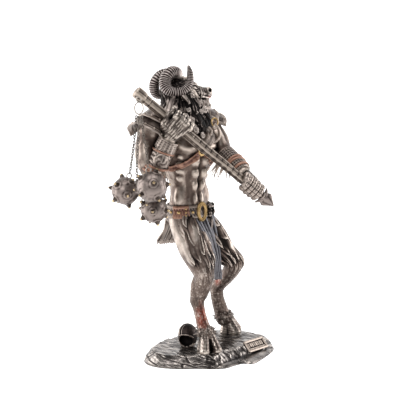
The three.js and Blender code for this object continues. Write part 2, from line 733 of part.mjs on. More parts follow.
// Each ball hangs on a chain that leaves its eye along `toChain`, passes the `bends`, and starts
// `hung` mm aside, nearer and lower than the foot of the ring.
const BALLS = {
  left: {
    centre: [-73.8, -40, 169], radius: 13, spin: [12, 45],
    toChain: [0.25, 0, 1], hung: [-2.4, 0.6, 0], bends: [[-65, -50, 213]],
  },
  upper: {
    centre: [-48.1, -63, 175.6], radius: 14, spin: [48, 75],
    toChain: [-0.2, 0.1, 1], hung: [2.4, 0.6, 0], bends: [[-56, -58, 226], [-53, -61, 207]],
  },
  lower: {
    centre: [-47.5, -42, 152], radius: 12.6, spin: [0, 30],
    toChain: [-0.6, -0.4, 0.7], hung: [0, 3, 0.4],
    bends: [[-60, -60.5, 222], [-62, -57, 190], [-61.2, -51.2, 172]],
  },
};

function flailRing() {
  return fuse([ring(RING_CENTRE, NEAR, RING_RADIUS, 0.7, { stretch: RING_STRETCH, detail: [3, 12] })]);
}

// A ball with a spike at each corner of an icosahedron, and an eye for its chain.
function spikedBall({ centre, radius, toChain, spin }) {
  const SPIKE = 4.8;
  const corners = new THREE.IcosahedronGeometry(1, 0).getAttribute("position");
  const geometry = new THREE.IcosahedronGeometry(1, 2);
  const points = geometry.getAttribute("position");
  const at = v(0, 0, 0);
  const corner = v(0, 0, 0);
  for (let i = 0; i < points.count; i++) {
    at.fromBufferAttribute(points, i);
    let nearest = 2;
    for (let k = 0; k < corners.count; k++) {
      nearest = Math.min(nearest, corner.fromBufferAttribute(corners, k).distanceTo(at));
    }
    at.multiplyScalar(nearest < 0.01 ? radius + SPIKE : radius);
    points.setXYZ(i, at.x, at.y, at.z);
  }
  geometry.rotateX(radians(spin[0])).rotateZ(radians(spin[1])).translate(...centre);
  const eye = walk(vec(centre), [vec(toChain).normalize(), radius + 1.6]);
  return fuse([geometry, ring(eye, v(0.3, -1, 0), 2.2, 0.9, { detail: [3, 7] })]);
}

// A fine chain along a route: flat links that lie a quarter turn apart.
function chainTo({ centre, radius, toChain, hung, bends }) {
  const LINK = 3;
  const FLAT = [1.35, 0.55];
  const [aside, nearer, lower] = hung;
  const start = walk(RING_FOOT, [v(1, 0, 0), aside], [v(0, -1, 0), nearer], [DOWN, lower]);
  const end = walk(vec(centre), [vec(toChain).normalize(), radius + 5.4]);
  const path = new THREE.CatmullRomCurve3([start, ...bends.map(vec), end]);
  const count = Math.round(path.getLength() / LINK);
  const links = [];
  for (let i = 0; i <= count; i++) {
    const [wide, thick] = i % 2 ? FLAT : FLAT.toReversed();
    links.push([...path.getPointAt(i / count).toArray(), wide, thick]);
  }
  return solid(loft(links, { sides: 4, side: v(1, 0, 0), cap: 0.2 }));
}

// Rock base
const BASE_OUTLINE = [
  [-59, -14], [-56, -31], [-45, -41], [-27, -45.5], [-8, -45], [6, -46], [19, -44], [28, -36], [36, -30],
  [46, -30.5], [53, -21], [62, -4], [69, 13], [69.5, 27], [61, 39], [46, 50], [26, 55], [4, 51], [-16, 41],
  [-33, 29], [-48, 12],
];
const BASE_CENTRE = [4, 2];
const HELMET = [-17, -7, 20.6];
const PLATE_CENTRE = [50.8, 4.2, 9];
const PLATE_HEADING = 46;
const PLATE_SLOPE = 46; // degrees from level

// The height of the rock's top: worn flat under the hooves, with steps that slant across it,
// and a slope under the plate.
function rockTop(x, y) {
  const LEDGE = 11;
  const steps = Math.floor((x * 0.5 + y * 0.86) / LEDGE);
  const ledge = STAND - 1.8 + ((steps * steps * 7) % 3) * 0.8;
  const near = [HOOF_R, HOOF_L].map(([hx, hy]) => Math.hypot(x - hx, y - hy));
  const flat = Math.min(...near) < 15 ? STAND : ledge;
  const [px, py, pz] = PLATE_CENTRE;
  const fall = front(PLATE_HEADING).dot(v(x - px, y - py, 0)) * Math.tan(radians(PLATE_SLOPE));
  return Math.min(flat, Math.max(3, pz - fall - 1.5));
}

function rock() {
  const SECTORS = 24;
  const PROFILE = [[1, 0], [1.005, 0.25], [0.95, 0.55], [0.86, 0.95], [0.55, 1]];
  const [cx, cy] = BASE_CENTRE;
  const wild = jitter(23);
  const outline = new THREE.CatmullRomCurve3(BASE_OUTLINE.map(([x, y]) => v(x, y, 0)), true);
  const rings = PROFILE.map(([share, rise], level) => {
    const row = [];
    for (let k = 0; k < SECTORS; k++) {
      const edge = outline.getPoint(k / SECTORS);
      const reach = share + (level > 0 && level < 4 ? wild() * 0.014 : 0);
      const [x, y] = [cx + (edge.x - cx) * reach, cy + (edge.y - cy) * reach];
      const slope = rise + (rise > 0 && rise < 0.9 ? wild() * 0.08 : 0);
      row.push(v(x, y, rockTop(x, y) * slope));
    }
    return row;
  });
  return skin(rings, v(cx, cy, 0), v(cx, cy, rockTop(cx, cy)));
}

// Slabs of slate that stand a little proud of the rock's edge.
function slabs() {
  const SLABS = [
    // centre, half sizes, heading, tilt
    [[-30, -30, 5], [24, 9, 3], 12, 10],
    [[6, -33, 4], [20, 9, 3.4], -6, 14],
    [[54, 28, 8], [10, 9, 3.4], 60, 6],
  ];
  return SLABS.map(([at, [a, b, c], heading, tilt]) => {
    const geometry = new THREE.CylinderGeometry(1, 1.08, 2, 6).rotateX(Math.PI / 2);
    geometry.scale(a, b, c).rotateX(radians(tilt)).rotateZ(radians(heading));
    return geometry.translate(...at);
  });
}

// A small framed plate on the slope at the right, with rows of shallow strokes in place of words.
function namePlate() {
  const [WIDE, TALL, THICK] = [28, 12, 6];
  const box = (x, y, wide, tall, rise) => {
    const geometry = new THREE.BoxGeometry(wide, tall, THICK).translate(x, y, rise - THICK / 2);
    geometry.rotateX(radians(PLATE_SLOPE)).rotateZ(radians(PLATE_HEADING));
    return geometry.translate(...PLATE_CENTRE);
  };
  const parts = [box(0, 0, WIDE, TALL, 0)];
  for (const s of [-1, 1]) {
    parts.push(box(0, s * (TALL / 2 - 0.7), WIDE + 0.4, 1.4, 1));
    parts.push(box(s * (WIDE / 2 - 0.7), 0, 1.4, TALL - 1, 0.95));
  }
  for (let k = 0; k < 4; k++) parts.push(box(-8.4 + k * 5.6, 0, 1.8, 6, 0.7));
  return parts;
}

// An open-faced helmet that lies on its side, with a raised band over its crown.
function helmet() {
  const RADIUS = 10.6;
  const at = vec(HELMET);
  const shell = solid(new THREE.SphereGeometry(RADIUS, 11, 7).translate(...HELMET));
  const opening = walk(at, [v(-0.25, -1, -0.35).normalize(), RADIUS * 0.72]);
  const mouth = solid(blob(opening, [RADIUS * 0.62, RADIUS * 0.62, RADIUS * 0.5], 0, [8, 5]));
  const crown = ring(at, v(0.35, -0.8, 0.5), RADIUS * 0.94, 1.5, { detail: [3, 10] });
  return shell.add(solid(crown)).subtract(mouth);
}

function rockBase() {
  const TALL = 60;
  const WIDE = 240;
  const below = solid(new THREE.BoxGeometry(WIDE, WIDE, TALL).translate(0, 0, -TALL / 2));
  const stone = fuse([rock(), ...slabs(), ...namePlate()]).add(helmet()).subtract(below);
  return [HOOF_R, HOOF_L].reduce((rest, [x, y]) => {
    const clear = new THREE.CylinderGeometry(15, 15, TALL, 12).rotateX(Math.PI / 2);
    return rest.subtract(solid(clear.translate(x, y, STAND + TALL / 2)));
  }, stone);
}

// The finished group: every separate casting is one named mesh
const FINISH = {
  bronze: { color: 0x6f6257, roughness: 0.42, metalness: 0.85 },
  rock: { color: 0x5a5450, roughness: 0.38, metalness: 0.7 },
  shaft: { color: 0x9a8c78, roughness: 0.45, metalness: 0.75 },
  steel: { color: 0x76746f, roughness: 0.4, metalness: 0.9 },
};

const group = new THREE.Group();

function addPiece(name, body, finish) {
  const mesh = new THREE.Mesh(drawn(body), new THREE.MeshStandardMaterial(FINISH[finish]));
  mesh.name = name;
  group.add(mesh);
}

addPiece("rock_base", rockBase(), "rock");
addPiece("minotaur", minotaur(), "bronze");
addPiece("flail_shaft", flailShaft(), "shaft");
addPiece("flail_ring", flailRing(), "steel");
for (const [name, ball] of Object.entries(BALLS)) {
  addPiece(`chain_${name}`, chainTo(ball), "steel");
  addPiece(`ball_${name}`, spikedBall(ball), "steel");
}

export default group;
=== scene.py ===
import json
import math

import bpy
import numpy as np
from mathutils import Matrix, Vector

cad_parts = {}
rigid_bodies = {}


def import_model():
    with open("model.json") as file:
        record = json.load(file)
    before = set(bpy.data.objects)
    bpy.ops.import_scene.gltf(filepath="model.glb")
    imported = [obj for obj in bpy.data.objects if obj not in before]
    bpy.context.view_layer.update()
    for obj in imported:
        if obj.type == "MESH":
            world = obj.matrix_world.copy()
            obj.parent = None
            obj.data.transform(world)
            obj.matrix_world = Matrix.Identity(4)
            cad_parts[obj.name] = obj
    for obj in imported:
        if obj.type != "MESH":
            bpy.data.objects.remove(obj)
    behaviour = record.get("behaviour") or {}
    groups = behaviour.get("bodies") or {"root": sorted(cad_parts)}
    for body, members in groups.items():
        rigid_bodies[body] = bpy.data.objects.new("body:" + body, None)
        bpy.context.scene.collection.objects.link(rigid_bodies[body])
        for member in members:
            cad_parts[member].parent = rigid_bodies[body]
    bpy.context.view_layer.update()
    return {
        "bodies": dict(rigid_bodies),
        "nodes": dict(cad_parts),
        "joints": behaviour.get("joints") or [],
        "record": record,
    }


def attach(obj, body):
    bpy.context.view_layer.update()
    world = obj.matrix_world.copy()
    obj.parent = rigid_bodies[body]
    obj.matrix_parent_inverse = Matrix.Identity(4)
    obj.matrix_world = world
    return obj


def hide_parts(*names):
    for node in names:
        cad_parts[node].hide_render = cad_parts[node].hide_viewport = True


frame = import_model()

# A cold-cast bronze minotaur that carries a three-ball flail, on a rock base.
# Lengths are in millimetres here. A finished mesh is made in metres, in the frame of the CAD model.
MM = 0.001

# Stance: a heading is in degrees, 0 towards the viewer and 90 to the viewer's right.
CHEST_HEADING = 47
HIP_HEADING = 45
HEAD_HEADING = 115
HEAD_ROLL = -6
SHOULDER_R = (-48.6, -28, 225)
ELBOW_R = (-49, -38, 184)
WRIST_R = (-33, -44, 217)
HAND_R = (-25, -44, 230)
SHOULDER_L = (2, 29, 227)
ELBOW_L = (19.5, 9, 199)
WRIST_L = (36, -12, 183)
HAND_L = (44, -18.5, 170)
SKULL = (-26, 5.5, 262)
SHAFT_TOP = (-62.8, -46, 260.4)
SHAFT_LOW = (55, -16, 160.3)
SPEAR_TIP = (65.9, -13, 151)
GROUND = 12.35
HOOF_R = (3.5, -28, GROUND)
HOOF_L = (26.5, 38, GROUND)
HOOF_HEADING_R = 22
HOOF_HEADING_L = 82


# Directions and chance
def unit(vector):
    vector = np.asarray(vector, float)
    return vector / np.linalg.norm(vector)


def front(heading):
    turn = math.radians(heading)
    return np.array((math.sin(turn), -math.cos(turn), 0.0))


def left(heading):
    turn = math.radians(heading)
    return np.array((math.cos(turn), math.sin(turn), 0.0))


UP = np.array((0.0, 0.0, 1.0))
DOWN = -UP
RIGHTWARD = np.array((1.0, 0.0, 0.0))
NEARER = np.array((0.0, -1.0, 0.0))


def clamp(values):
    """Values kept between 0 and 1."""
    return np.clip(values, 0, 1)


def lengths(rows):
    return np.linalg.norm(rows, axis=1)


def square_to(vector, along):
    """The part of a vector that lies square to a direction, at unit length."""
    along = unit(along)
    return unit(np.asarray(vector, float) - np.dot(vector, along) * along)


def full_turn(count):
    """Angles in radians, evenly round a circle."""
    return math.tau * np.arange(count) / count


def ridge(at, middle, width):
    """A smooth ridge of height 1, `width` wide, at a place across the surface."""
    return np.exp(-((at - middle) / width) ** 2)


def run_along(path):
    """How far each point of a path is from its start."""
    return np.concatenate([[0], np.cumsum(lengths(np.diff(path, axis=0)))])


def rows_at(at, marks, rows):
    """Rows read at places between the marks that they stand at."""
    return np.stack([np.interp(at, marks, column) for column in np.transpose(rows)], axis=1)


def unit_rows(rows):
    return rows / lengths(rows)[:, None]


def raised(points, outward, rise):
    """Points moved out of their surface."""
    return points + outward * rise[:, None]


def noise(points, scale, seed=0):
    """Smooth chance from -1 to 1 over points, with lumps about `scale` across (one number or three)."""
    spot = np.asarray(points, float) / np.asarray(scale, float)
    base = np.floor(spot).astype(np.int64)
    part = spot - base
    part = part * part * (3 - 2 * part)
    total = np.zeros(len(spot))
    for corner in np.ndindex(2, 2, 2):
        cell = base + corner
        code = cell[:, 0] * 374761393 + cell[:, 1] * 668265263 + cell[:, 2] * 1440865359 + seed * 40503
        code = (code ^ (code >> 13)) * 1274126177
        code = (code ^ (code >> 16)) & 0xFFFFFF
        weight = np.prod(np.where(corner, part, 1 - part), axis=1)
        total += weight * (code / 0x7FFFFF - 1)
    return total


def spline(rows, count):
    """`count` rows on a smooth curve through the given rows, spaced evenly from row to row."""
    rows = np.asarray(rows, float)
    padded = np.vstack([2 * rows[0] - rows[1], rows, 2 * rows[-1] - rows[-2]])
    spot = np.linspace(0, len(rows) - 1, count)
    i = np.minimum(spot.astype(int), len(rows) - 2)
    t = (spot - i)[:, None]
    a, b, c, d = (padded[i + k] for k in range(4))
    return b + 0.5 * t * (c - a + t * (2 * a - 5 * b + 4 * c - d + t * (3 * (b - c) + d - a)))


def measured(grid, start, direction):
    """How far each place of a grid lies along a direction from a point."""
    return sum((axis - at) * way for axis, at, way in zip(grid, start, direction))


# Clay: a block of distances to a surface, which shapes are pressed on to and carved from
class Clay:
    FAR = 12.0

    def __init__(self, low, high, cell):
        self.low = np.array(low, float)
        self.cell = cell
        count = np.ceil((np.array(high) - self.low) / cell).astype(int) + 1
        self.field = np.full(count, self.FAR, np.float32)

    def window(self, low, high):
        """The slices of the block around a box, and the coordinates there."""
        first = np.floor((np.asarray(low) - self.FAR - self.low) / self.cell).astype(int)
        last = np.ceil((np.asarray(high) + self.FAR - self.low) / self.cell).astype(int)
        first = np.clip(first, 0, self.field.shape)
        last = np.clip(last, 0, self.field.shape)
        slices = tuple(slice(a, b) for a, b in zip(first, last))
        axes = [self.low[k] + self.cell * np.arange(first[k], last[k]) for k in range(3)]
        return slices, np.meshgrid(*axes, indexing="ij", sparse=True)

    def press(self, slices, distance, blend, carve=False):
        """Joins a shape to the clay, or cuts it away, with a fillet of `blend`."""
        here = self.field[slices]
        if here.size == 0:
            return
        sign = -1 if carve else 1
        distance = sign * distance
        share = clamp(0.5 + sign * 0.5 * (distance - here) / blend)
        self.field[slices] = distance * (1 - share) + here * share - sign * blend * share * (1 - share)

    def bone(self, start, end, half_start, half_end, side=RIGHTWARD, blend=1.0, carve=False):
        """A tapering limb between two points, with half sizes along `side` and square to it."""
        start, end = np.asarray(start, float), np.asarray(end, float)
        half_start, half_end = np.broadcast_to(half_start, 2), np.broadcast_to(half_end, 2)
        reach = max(half_start.max(), half_end.max())
        slices, grid = self.window(np.minimum(start, end) - reach, np.maximum(start, end) + reach)
        length = np.linalg.norm(end - start)
        along = (end - start) / length
        side = square_to(side, along)
        square = np.cross(along, side)
        run, aside, apart = (measured(grid, start, way) for way in (along, side, square))
        share = clamp(run / length)
        wide = half_start[0] + (half_end[0] - half_start[0]) * share
        deep = half_start[1] + (half_end[1] - half_start[1]) * share
        least = np.minimum(wide, deep)
        rest = (run - share * length) / least
        size = np.sqrt((aside / wide) ** 2 + (apart / deep) ** 2 + rest ** 2)
        self.press(slices, (size - 1) * least, blend, carve)

    def limb(self, sections, side, blend=3.0, steps=3):
        """A run of bones through sections (x, y, z, half width, half depth)."""
        rows = spline(sections, (len(sections) - 1) * steps + 1)
        for k, (a, b) in enumerate(zip(rows[:-1], rows[1:])):
            self.bone(a[:3], b[:3], a[3:], b[3:], side, blend if k == 0 else 0.6)

    def digit(self, joints, radii, side, blend):
        """Bones from joint to joint, with a radius at each joint."""
        for a, b, r, q in zip(joints, joints[1:], radii, radii[1:]):
            self.bone(a, b, r, q, side, blend)

    def lump(self, centre, sizes, axes=None, blend=3.0, carve=False):
        """An ellipsoid with half sizes along three directions."""
        centre, sizes = np.asarray(centre, float), np.broadcast_to(sizes, 3).astype(float)
        axes = np.eye(3) if axes is None else np.asarray(axes)
        slices, grid = self.window(centre - sizes.max(), centre + sizes.max())
        local = [measured(grid, centre, axis) for axis in axes]
        size = np.sqrt(sum((u / s) ** 2 for u, s in zip(local, sizes)))
        slope = np.sqrt(sum((u / s ** 2) ** 2 for u, s in zip(local, sizes))) + 1e-6
        self.press(slices, size * (size - 1) / slope, blend, carve)

    def muscle(self, start, end, radius, blend=3.0, flat=1.0, face=NEARER):
        """A spindle between two points, thinner along `face` where `flat` is under 1."""
        start, end = np.asarray(start, float), np.asarray(end, float)
        along = unit(end - start)
        outward = square_to(face, along)
        half = np.linalg.norm(end - start) / 2
        axes = (along, outward, np.cross(along, outward))
        self.lump((start + end) / 2, (half, radius * flat, radius), axes, blend)

    def finished(self):
        """Points and faces, the way out at each point, and how shut in each point is."""
        points, quads = self.skin()
        outward = self.slope(points)
        return points, quads, outward, self.shade(points, outward)

    def sample(self, points):
        """The distance at points, read between the cells."""
        spot = np.clip((points - self.low) / self.cell, 0, np.array(self.field.shape) - 1.001)
        base = spot.astype(int)
        part = spot - base
        total = np.zeros(len(points))
        for corner in np.ndindex(2, 2, 2):
            i, j, k = (base + corner).T
            total += np.prod(np.where(corner, part, 1 - part), axis=1) * self.field[i, j, k]
        return total

    def slope(self, points):
        """Unit directions out of the surface at points."""
        step = np.eye(3) * self.cell
        rise = [self.sample(points + s) - self.sample(points - s) for s in step]
        rise = np.stack(rise, axis=1)
        return rise / np.maximum(lengths(rise), 1e-6)[:, None]

    def skin(self):
        """Points and four-sided faces of the surface, closed where the block ends."""
        for axis in range(3):
            ends = np.moveaxis(self.field, axis, 0)
            ends[[0, -1]] = np.maximum(ends[[0, -1]], self.cell)
        inside = self.field < 0
        count = sum(inside[i:i - 1 or None, j:j - 1 or None, k:k - 1 or None].astype(np.int8)
                    for i, j, k in np.ndindex(2, 2, 2))
        cells = np.argwhere((count > 0) & (count < 8))
        corners = [self.field[tuple((cells + c).T)] for c in np.ndindex(2, 2, 2)]
        corners = np.stack(corners, axis=1)
        offsets = np.array(list(np.ndindex(2, 2, 2)))
        total = np.zeros((len(cells), 3))
        hits = np.zeros(len(cells))
        for a in range(8):
            for bit in (1, 2, 4):
                b = a | bit
                if b == a:
                    continue
                fa, fb = corners[:, a], corners[:, b]
                cut = (fa < 0) != (fb < 0)
                t = np.where(cut, fa / np.where(cut, fa - fb, 1), 0)[:, None]
                total += np.where(cut[:, None], offsets[a] + (offsets[b] - offsets[a]) * t, 0)
                hits += cut
        points = self.low + self.cell * (cells + total / hits[:, None])
        number = np.full(count.shape, -1, np.int32)
        number[tuple(cells.T)] = np.arange(len(cells))
        faces = []
        for axis in range(3):
            b, c = (axis + 1) % 3, (axis + 2) % 3
            here = [slice(1, -1)] * 3
            ahead = list(here)
            ahead[axis] = slice(2, None)
            changes = np.argwhere(inside[tuple(here)] != inside[tuple(ahead)]) + 1
            around = []
            for db, dc in ((1, 1), (0, 1), (0, 0), (1, 0)):
                cell = changes.copy()
                cell[:, b] -= db
                cell[:, c] -= dc
                around.append(number[tuple(cell.T)])
            quad = np.stack(around, axis=1)
            outward = inside[tuple(changes.T)]
            quad[~outward] = quad[~outward][:, ::-1]
            faces.append(quad)
        return points, np.concatenate(faces)

    def shade(self, points, outward):
        """How shut in each point is, from 0 in the open to 1 in a deep hollow."""
        shut = np.zeros(len(points))
        for reach, weight in ((1.5, 0.4), (4.0, 0.35), (9.0, 0.25)):
            clear = self.sample(points + outward * reach) / reach
            shut += weight * (1 - clamp(clear))
        return shut


# Meshes: finished points and faces become a piece, with its hollows kept as an attribute
def face_normals(points, faces):
    corners = points[faces]
    return np.cross(corners[:, 2] - corners[:, 0], corners[:, -1] - corners[:, 1])


def point_normals(points, faces):
    normals = face_normals(points, faces)
    total = np.zeros_like(points)
    for k in range(faces.shape[1]):
        np.add.at(total, faces[:, k], normals)
    return total / np.maximum(lengths(total), 1e-9)[:, None]


def neighbours_mean(values, faces):
    """For each point, the mean of a value over the points that share an edge with it."""
    total = np.zeros_like(values, dtype=float)
    count = np.zeros(len(values))
    for k in range(faces.shape[1]):
        a, b = faces[:, k], faces[:, (k + 1) % faces.shape[1]]
        np.add.at(total, a, values[b])
        np.add.at(total, b, values[a])
        np.add.at(count, a, 1)
        np.add.at(count, b, 1)
    count = np.maximum(count, 1)
    return total / (count[:, None] if total.ndim > 1 else count)


def creases(points, faces, passes=2):
    """How hollow the surface is at each point: over 0 in a groove, under 0 on a ridge."""
    normals = point_normals(points, faces)
    bend = np.einsum("ij,ij->i", neighbours_mean(points, faces) - points, normals)
    for _ in range(passes):
        bend = 0.5 * bend + 0.5 * neighbours_mean(bend, faces)
    return bend


OPEN_SKIN = 0.32
SHUT_SHARE = 0.6
CREASE_SHARE = 0.5
PIECES = {}


def in_scene(name, data):
    """A new object that is part of the scene."""
    thing = bpy.data.objects.new(name, data)
    bpy.context.scene.collection.objects.link(thing)
    return thing


def mark(mesh, name, values):
    """Keeps a number from 0 to 1 at each point of a mesh."""
    layer = mesh.attributes.new(name, "FLOAT", "POINT")
    layer.data.foreach_set("value", clamp(values).astype(np.float32))


def piece(name, points, faces, material, hollow=None, strength=6.0, tint=None, node="minotaur"):
    """A finished piece of a node. `hollow` runs from 0 on a high spot to 1 in a deep groove."""
    mesh = bpy.data.meshes.new(name)
    corners = [list(dict.fromkeys(face)) for face in np.asarray(faces).tolist()]
    mesh.from_pydata((np.asarray(points) * MM).tolist(), [], corners)
    if hollow is None:
        hollow = np.zeros(len(points))
    size = math.sqrt(lengths(face_normals(points, faces)).mean() / 2)
    depth = OPEN_SKIN + SHUT_SHARE * hollow + strength * creases(points, faces) / size * CREASE_SHARE
    mark(mesh, "hollow", depth)
    if tint is not None:
        mark(mesh, "tint", tint)
    mesh.polygons.foreach_set("use_smooth", [True] * len(mesh.polygons))
    mesh.materials.append(material)
    mesh.update()
    PIECES.setdefault(node, []).append(in_scene(name, mesh))


def ring_values(values, sides):
    """One value for each ring of a tube, given to all its points and to its rounded ends."""
    rings = np.concatenate([values[:1], values, values[-1:]])
    return np.concatenate([np.repeat(rings, sides), values[[0, -1]]])


def joined(parts):
    """Several (points, faces) as one."""
    points, faces, start = [], [], 0
    for some_points, some_faces in parts:
        points.append(some_points)
        faces.append(np.asarray(some_faces) + start)
        start += len(some_points)
    return np.concatenate(points), np.concatenate(faces)


def walled(rings, sides, poles):
    """Faces over rings of points, closed at the first and the last ring by a fan to a pole."""
    k = np.arange(sides)
    after = (k + 1) % sides
    faces = [np.stack([j * sides + k, j * sides + after, (j + 1) * sides + after, (j + 1) * sides + k],
                      axis=1) for j in range(rings - 1)]
    top = (rings - 1) * sides
    for a, b, pole in ((after, k, poles[0]), (top + k, top + after, poles[1])):
        faces.append(np.stack([a, b, np.full(sides, pole), np.full(sides, pole)], axis=1))
    return np.concatenate(faces)


def tube(path, halves, sides=8, side=UP, hold=False, swell=None, ends=(0.4, 0.4)):
    """A skin along a path, with half widths along `side` and square to it, and rounded ends.
    `side` may be one direction, carried along the path or held, or one for each point."""
    path, halves = np.asarray(path, float), np.asarray(halves, float)
    if halves.ndim == 1:
        halves = np.stack([halves, halves], axis=1)
    tangents = np.gradient(path, axis=0)
    turns = full_turn(sides)
    guides = np.broadcast_to(np.asarray(side, float), path.shape)
    held = hold or np.ndim(side) > 1
    across = guides[0]
    rings = []
    for i, (spot, half, along) in enumerate(zip(path, halves, tangents)):
        across = square_to(guides[i] if held else across, along)
        square = np.cross(unit(along), across)
        scale = 1 if swell is None else swell(turns, i / (len(path) - 1))
        wide = np.outer(half[0] * np.cos(turns) * scale, across)
        deep = np.outer(half[1] * np.sin(turns) * scale, square)
        rings.append(spot + wide + deep)
    poles = []
    for where, sign, rise in ((0, -1, ends[0]), (-1, 1, ends[1])):
        lift = unit(tangents[where]) * sign * min(halves[where]) * rise
        inner = path[where] + (rings[where] - path[where]) * 0.7 + lift * 0.7
        poles.append(path[where] + lift)
        rings.insert(0 if where == 0 else len(rings), inner)
    points = np.concatenate(rings + [poles])
    return points, walled(len(rings), sides, (len(points) - 2, len(points) - 1))


def hoop(centre, axis, radius, wire, stretch=1.0, long=UP, detail=(8, 32), flat=1.0):
    """A closed ring of wire whose hole looks along `axis`, stretched along `long`."""
    axis = unit(axis)
    tall = square_to(long, axis)
    wide = np.cross(tall, axis)
    sides, steps = detail
    section = full_turn(sides)
    rows = []
    for turn in full_turn(steps):
        out = wide * math.cos(turn) + tall * math.sin(turn)
        spot = wide * math.cos(turn) * radius + tall * math.sin(turn) * radius * stretch
        rows.append(centre + spot + np.outer(np.cos(section) * wire, out)
                    + np.outer(np.sin(section) * wire * flat, axis))
    return looped(rows)


def plate(surface, across, down, thickness):
    """A closed plate of even thickness over surface(u, w), which takes arrays from 0 to 1."""
    u, w = np.meshgrid(np.linspace(0, 1, across + 1), np.linspace(0, 1, down + 1))
    u, w = u.ravel(), w.ravel()
    middle = surface(u, w)
    step = 0.004
    along = surface(np.minimum(u + step, 1), w) - surface(np.maximum(u - step, 0), w)
    fall = surface(u, np.minimum(w + step, 1)) - surface(u, np.maximum(w - step, 0))
    outward = np.cross(fall, along)
    outward /= np.maximum(lengths(outward), 1e-9)[:, None]
    points = np.concatenate([middle + outward * thickness / 2, middle - outward * thickness / 2])
    row, count = across + 1, len(u)
    i, j = (g.ravel() for g in np.meshgrid(np.arange(across), np.arange(down)))
    a = j * row + i
    top = np.stack([a, a + row, a + row + 1, a + 1], axis=1)
    low = np.stack([a, a + 1, a + row + 1, a + row], axis=1) + count
    rim = np.concatenate([np.arange(across), across + row * np.arange(down),
                          down * row + across - np.arange(across), row * (down - np.arange(down))])
    after = np.roll(rim, -1)
    wall = np.stack([rim, after, after + count, rim + count], axis=1)
    return points, np.concatenate([top, low, wall])


def turned(part):
    """A skin with its faces turned the other way."""
    points, faces = part
    return points, faces[:, ::-1]


def looped(rows):
    """A skin over rows that close on themselves both ways, such as a belt or a wire ring."""
    rows = np.asarray(rows)
    steps, sides = rows.shape[:2]
    k, j = (g.ravel() for g in np.meshgrid(np.arange(sides), np.arange(steps)))
    k2, j2 = (k + 1) % sides, (j + 1) % steps
    faces = np.stack([j * sides + k, j2 * sides + k, j2 * sides + k2, j * sides + k2], axis=1)
    return rows.reshape(-1, 3), faces


# Finishes
def add_socket(group, way, name, kind, value=None):
    socket = group.interface.new_socket(name=name, in_out=way, socket_type=kind)
    if value is not None:
        socket.default_value = value
    return socket


def feed(tree, node, inputs):
    """A node's inputs set to values or joined to other nodes' outputs."""
    for key, value in dict(inputs).items():
        if isinstance(value, bpy.types.NodeSocket):
            tree.links.new(value, node.inputs[key])
        else:
            node.inputs[key].default_value = value
    return node


def linked(tree, node_type, inputs=(), **settings):
    """A new node with its settings and its inputs."""
    node = tree.nodes.new(node_type)
    for key, value in settings.items():
        setattr(node, key, value)
    return feed(tree, node, inputs)


def colour_mix(tree, share, a, b):
    return linked(tree, "ShaderNodeMix", {0: share, 6: a, 7: b}, data_type="RGBA").outputs[2]


def worked_out(tree, operation, a, b):
    """The result of a math node."""
    return linked(tree, "ShaderNodeMath", {0: a, 1: b}, operation=operation).outputs[0]


def new_material(name):
    """A material with its node tree and its shader."""
    material = bpy.data.materials.new(name)
    material.use_nodes = True
    return material, material.node_tree, material.node_tree.nodes["Principled BSDF"]


# How far the rubbed colour fades into the middle one, and the depth of the grain in metres
RUBBED_SPAN = 0.14
BUMP_DEPTH = 0.0004


def patina_group():
    """Cast metal, dark in the hollows and rubbed pale on the high spots, with blotches and grain."""
    group = bpy.data.node_groups.new("cast patina", "ShaderNodeTree")
    colours = (("Deep", (0.02, 0.016, 0.014, 1)), ("Body", (0.2, 0.16, 0.13, 1)),
               ("Bright", (0.6, 0.5, 0.42, 1)))
    for name, value in colours:
        add_socket(group, "INPUT", name, "NodeSocketColor", value)
    numbers = (("Hollow", 0.35), ("Rubbed", 0.2), ("Shadowed", 0.62), ("Blotches", 0.25),
               ("Blotch Scale", 160.0), ("Grain Scale", 1500.0), ("Smooth", 0.36))
    for name, value in numbers:
        add_socket(group, "INPUT", name, "NodeSocketFloat", value)
    for name, kind in (("Colour", "NodeSocketColor"), ("Roughness", "NodeSocketFloat"),
                       ("Height", "NodeSocketFloat")):
        add_socket(group, "OUTPUT", name, kind)
    entry = group.nodes.new("NodeGroupInput").outputs
    spot = group.nodes.new("ShaderNodeTexCoord").outputs["Object"]
    blotch = linked(group, "ShaderNodeTexNoise",
                    {"Vector": spot, "Scale": entry["Blotch Scale"], "Detail": 4.0})
    grain = linked(group, "ShaderNodeTexNoise",
                   {"Vector": spot, "Scale": entry["Grain Scale"], "Detail": 3.0})
    centred = worked_out(group, "SUBTRACT", blotch.outputs["Fac"], 0.5)
    depth = worked_out(group, "ADD", entry["Hollow"],
                       worked_out(group, "MULTIPLY", centred, entry["Blotches"]))
    middle = worked_out(group, "ADD", entry["Rubbed"], RUBBED_SPAN)
    spans = [{"Value": depth, "From Min": middle, "From Max": entry[end]} for end in ("Rubbed", "Shadowed")]
    rubbed, shadow = (linked(group, "ShaderNodeMapRange", span).outputs["Result"] for span in spans)
    pale = colour_mix(group, rubbed, entry["Body"], entry["Bright"])
    dull = worked_out(group, "ADD", entry["Smooth"], worked_out(group, "MULTIPLY", shadow, 0.25))
    speck = worked_out(group, "MULTIPLY", grain.outputs["Fac"], 0.12)
    feed(group, group.nodes.new("NodeGroupOutput"), {
        "Colour": colour_mix(group, shadow, pale, entry["Deep"]),
        "Roughness": worked_out(group, "ADD", dull, speck),
        "Height": grain.outputs["Fac"]})
    return group


PATINA = patina_group()


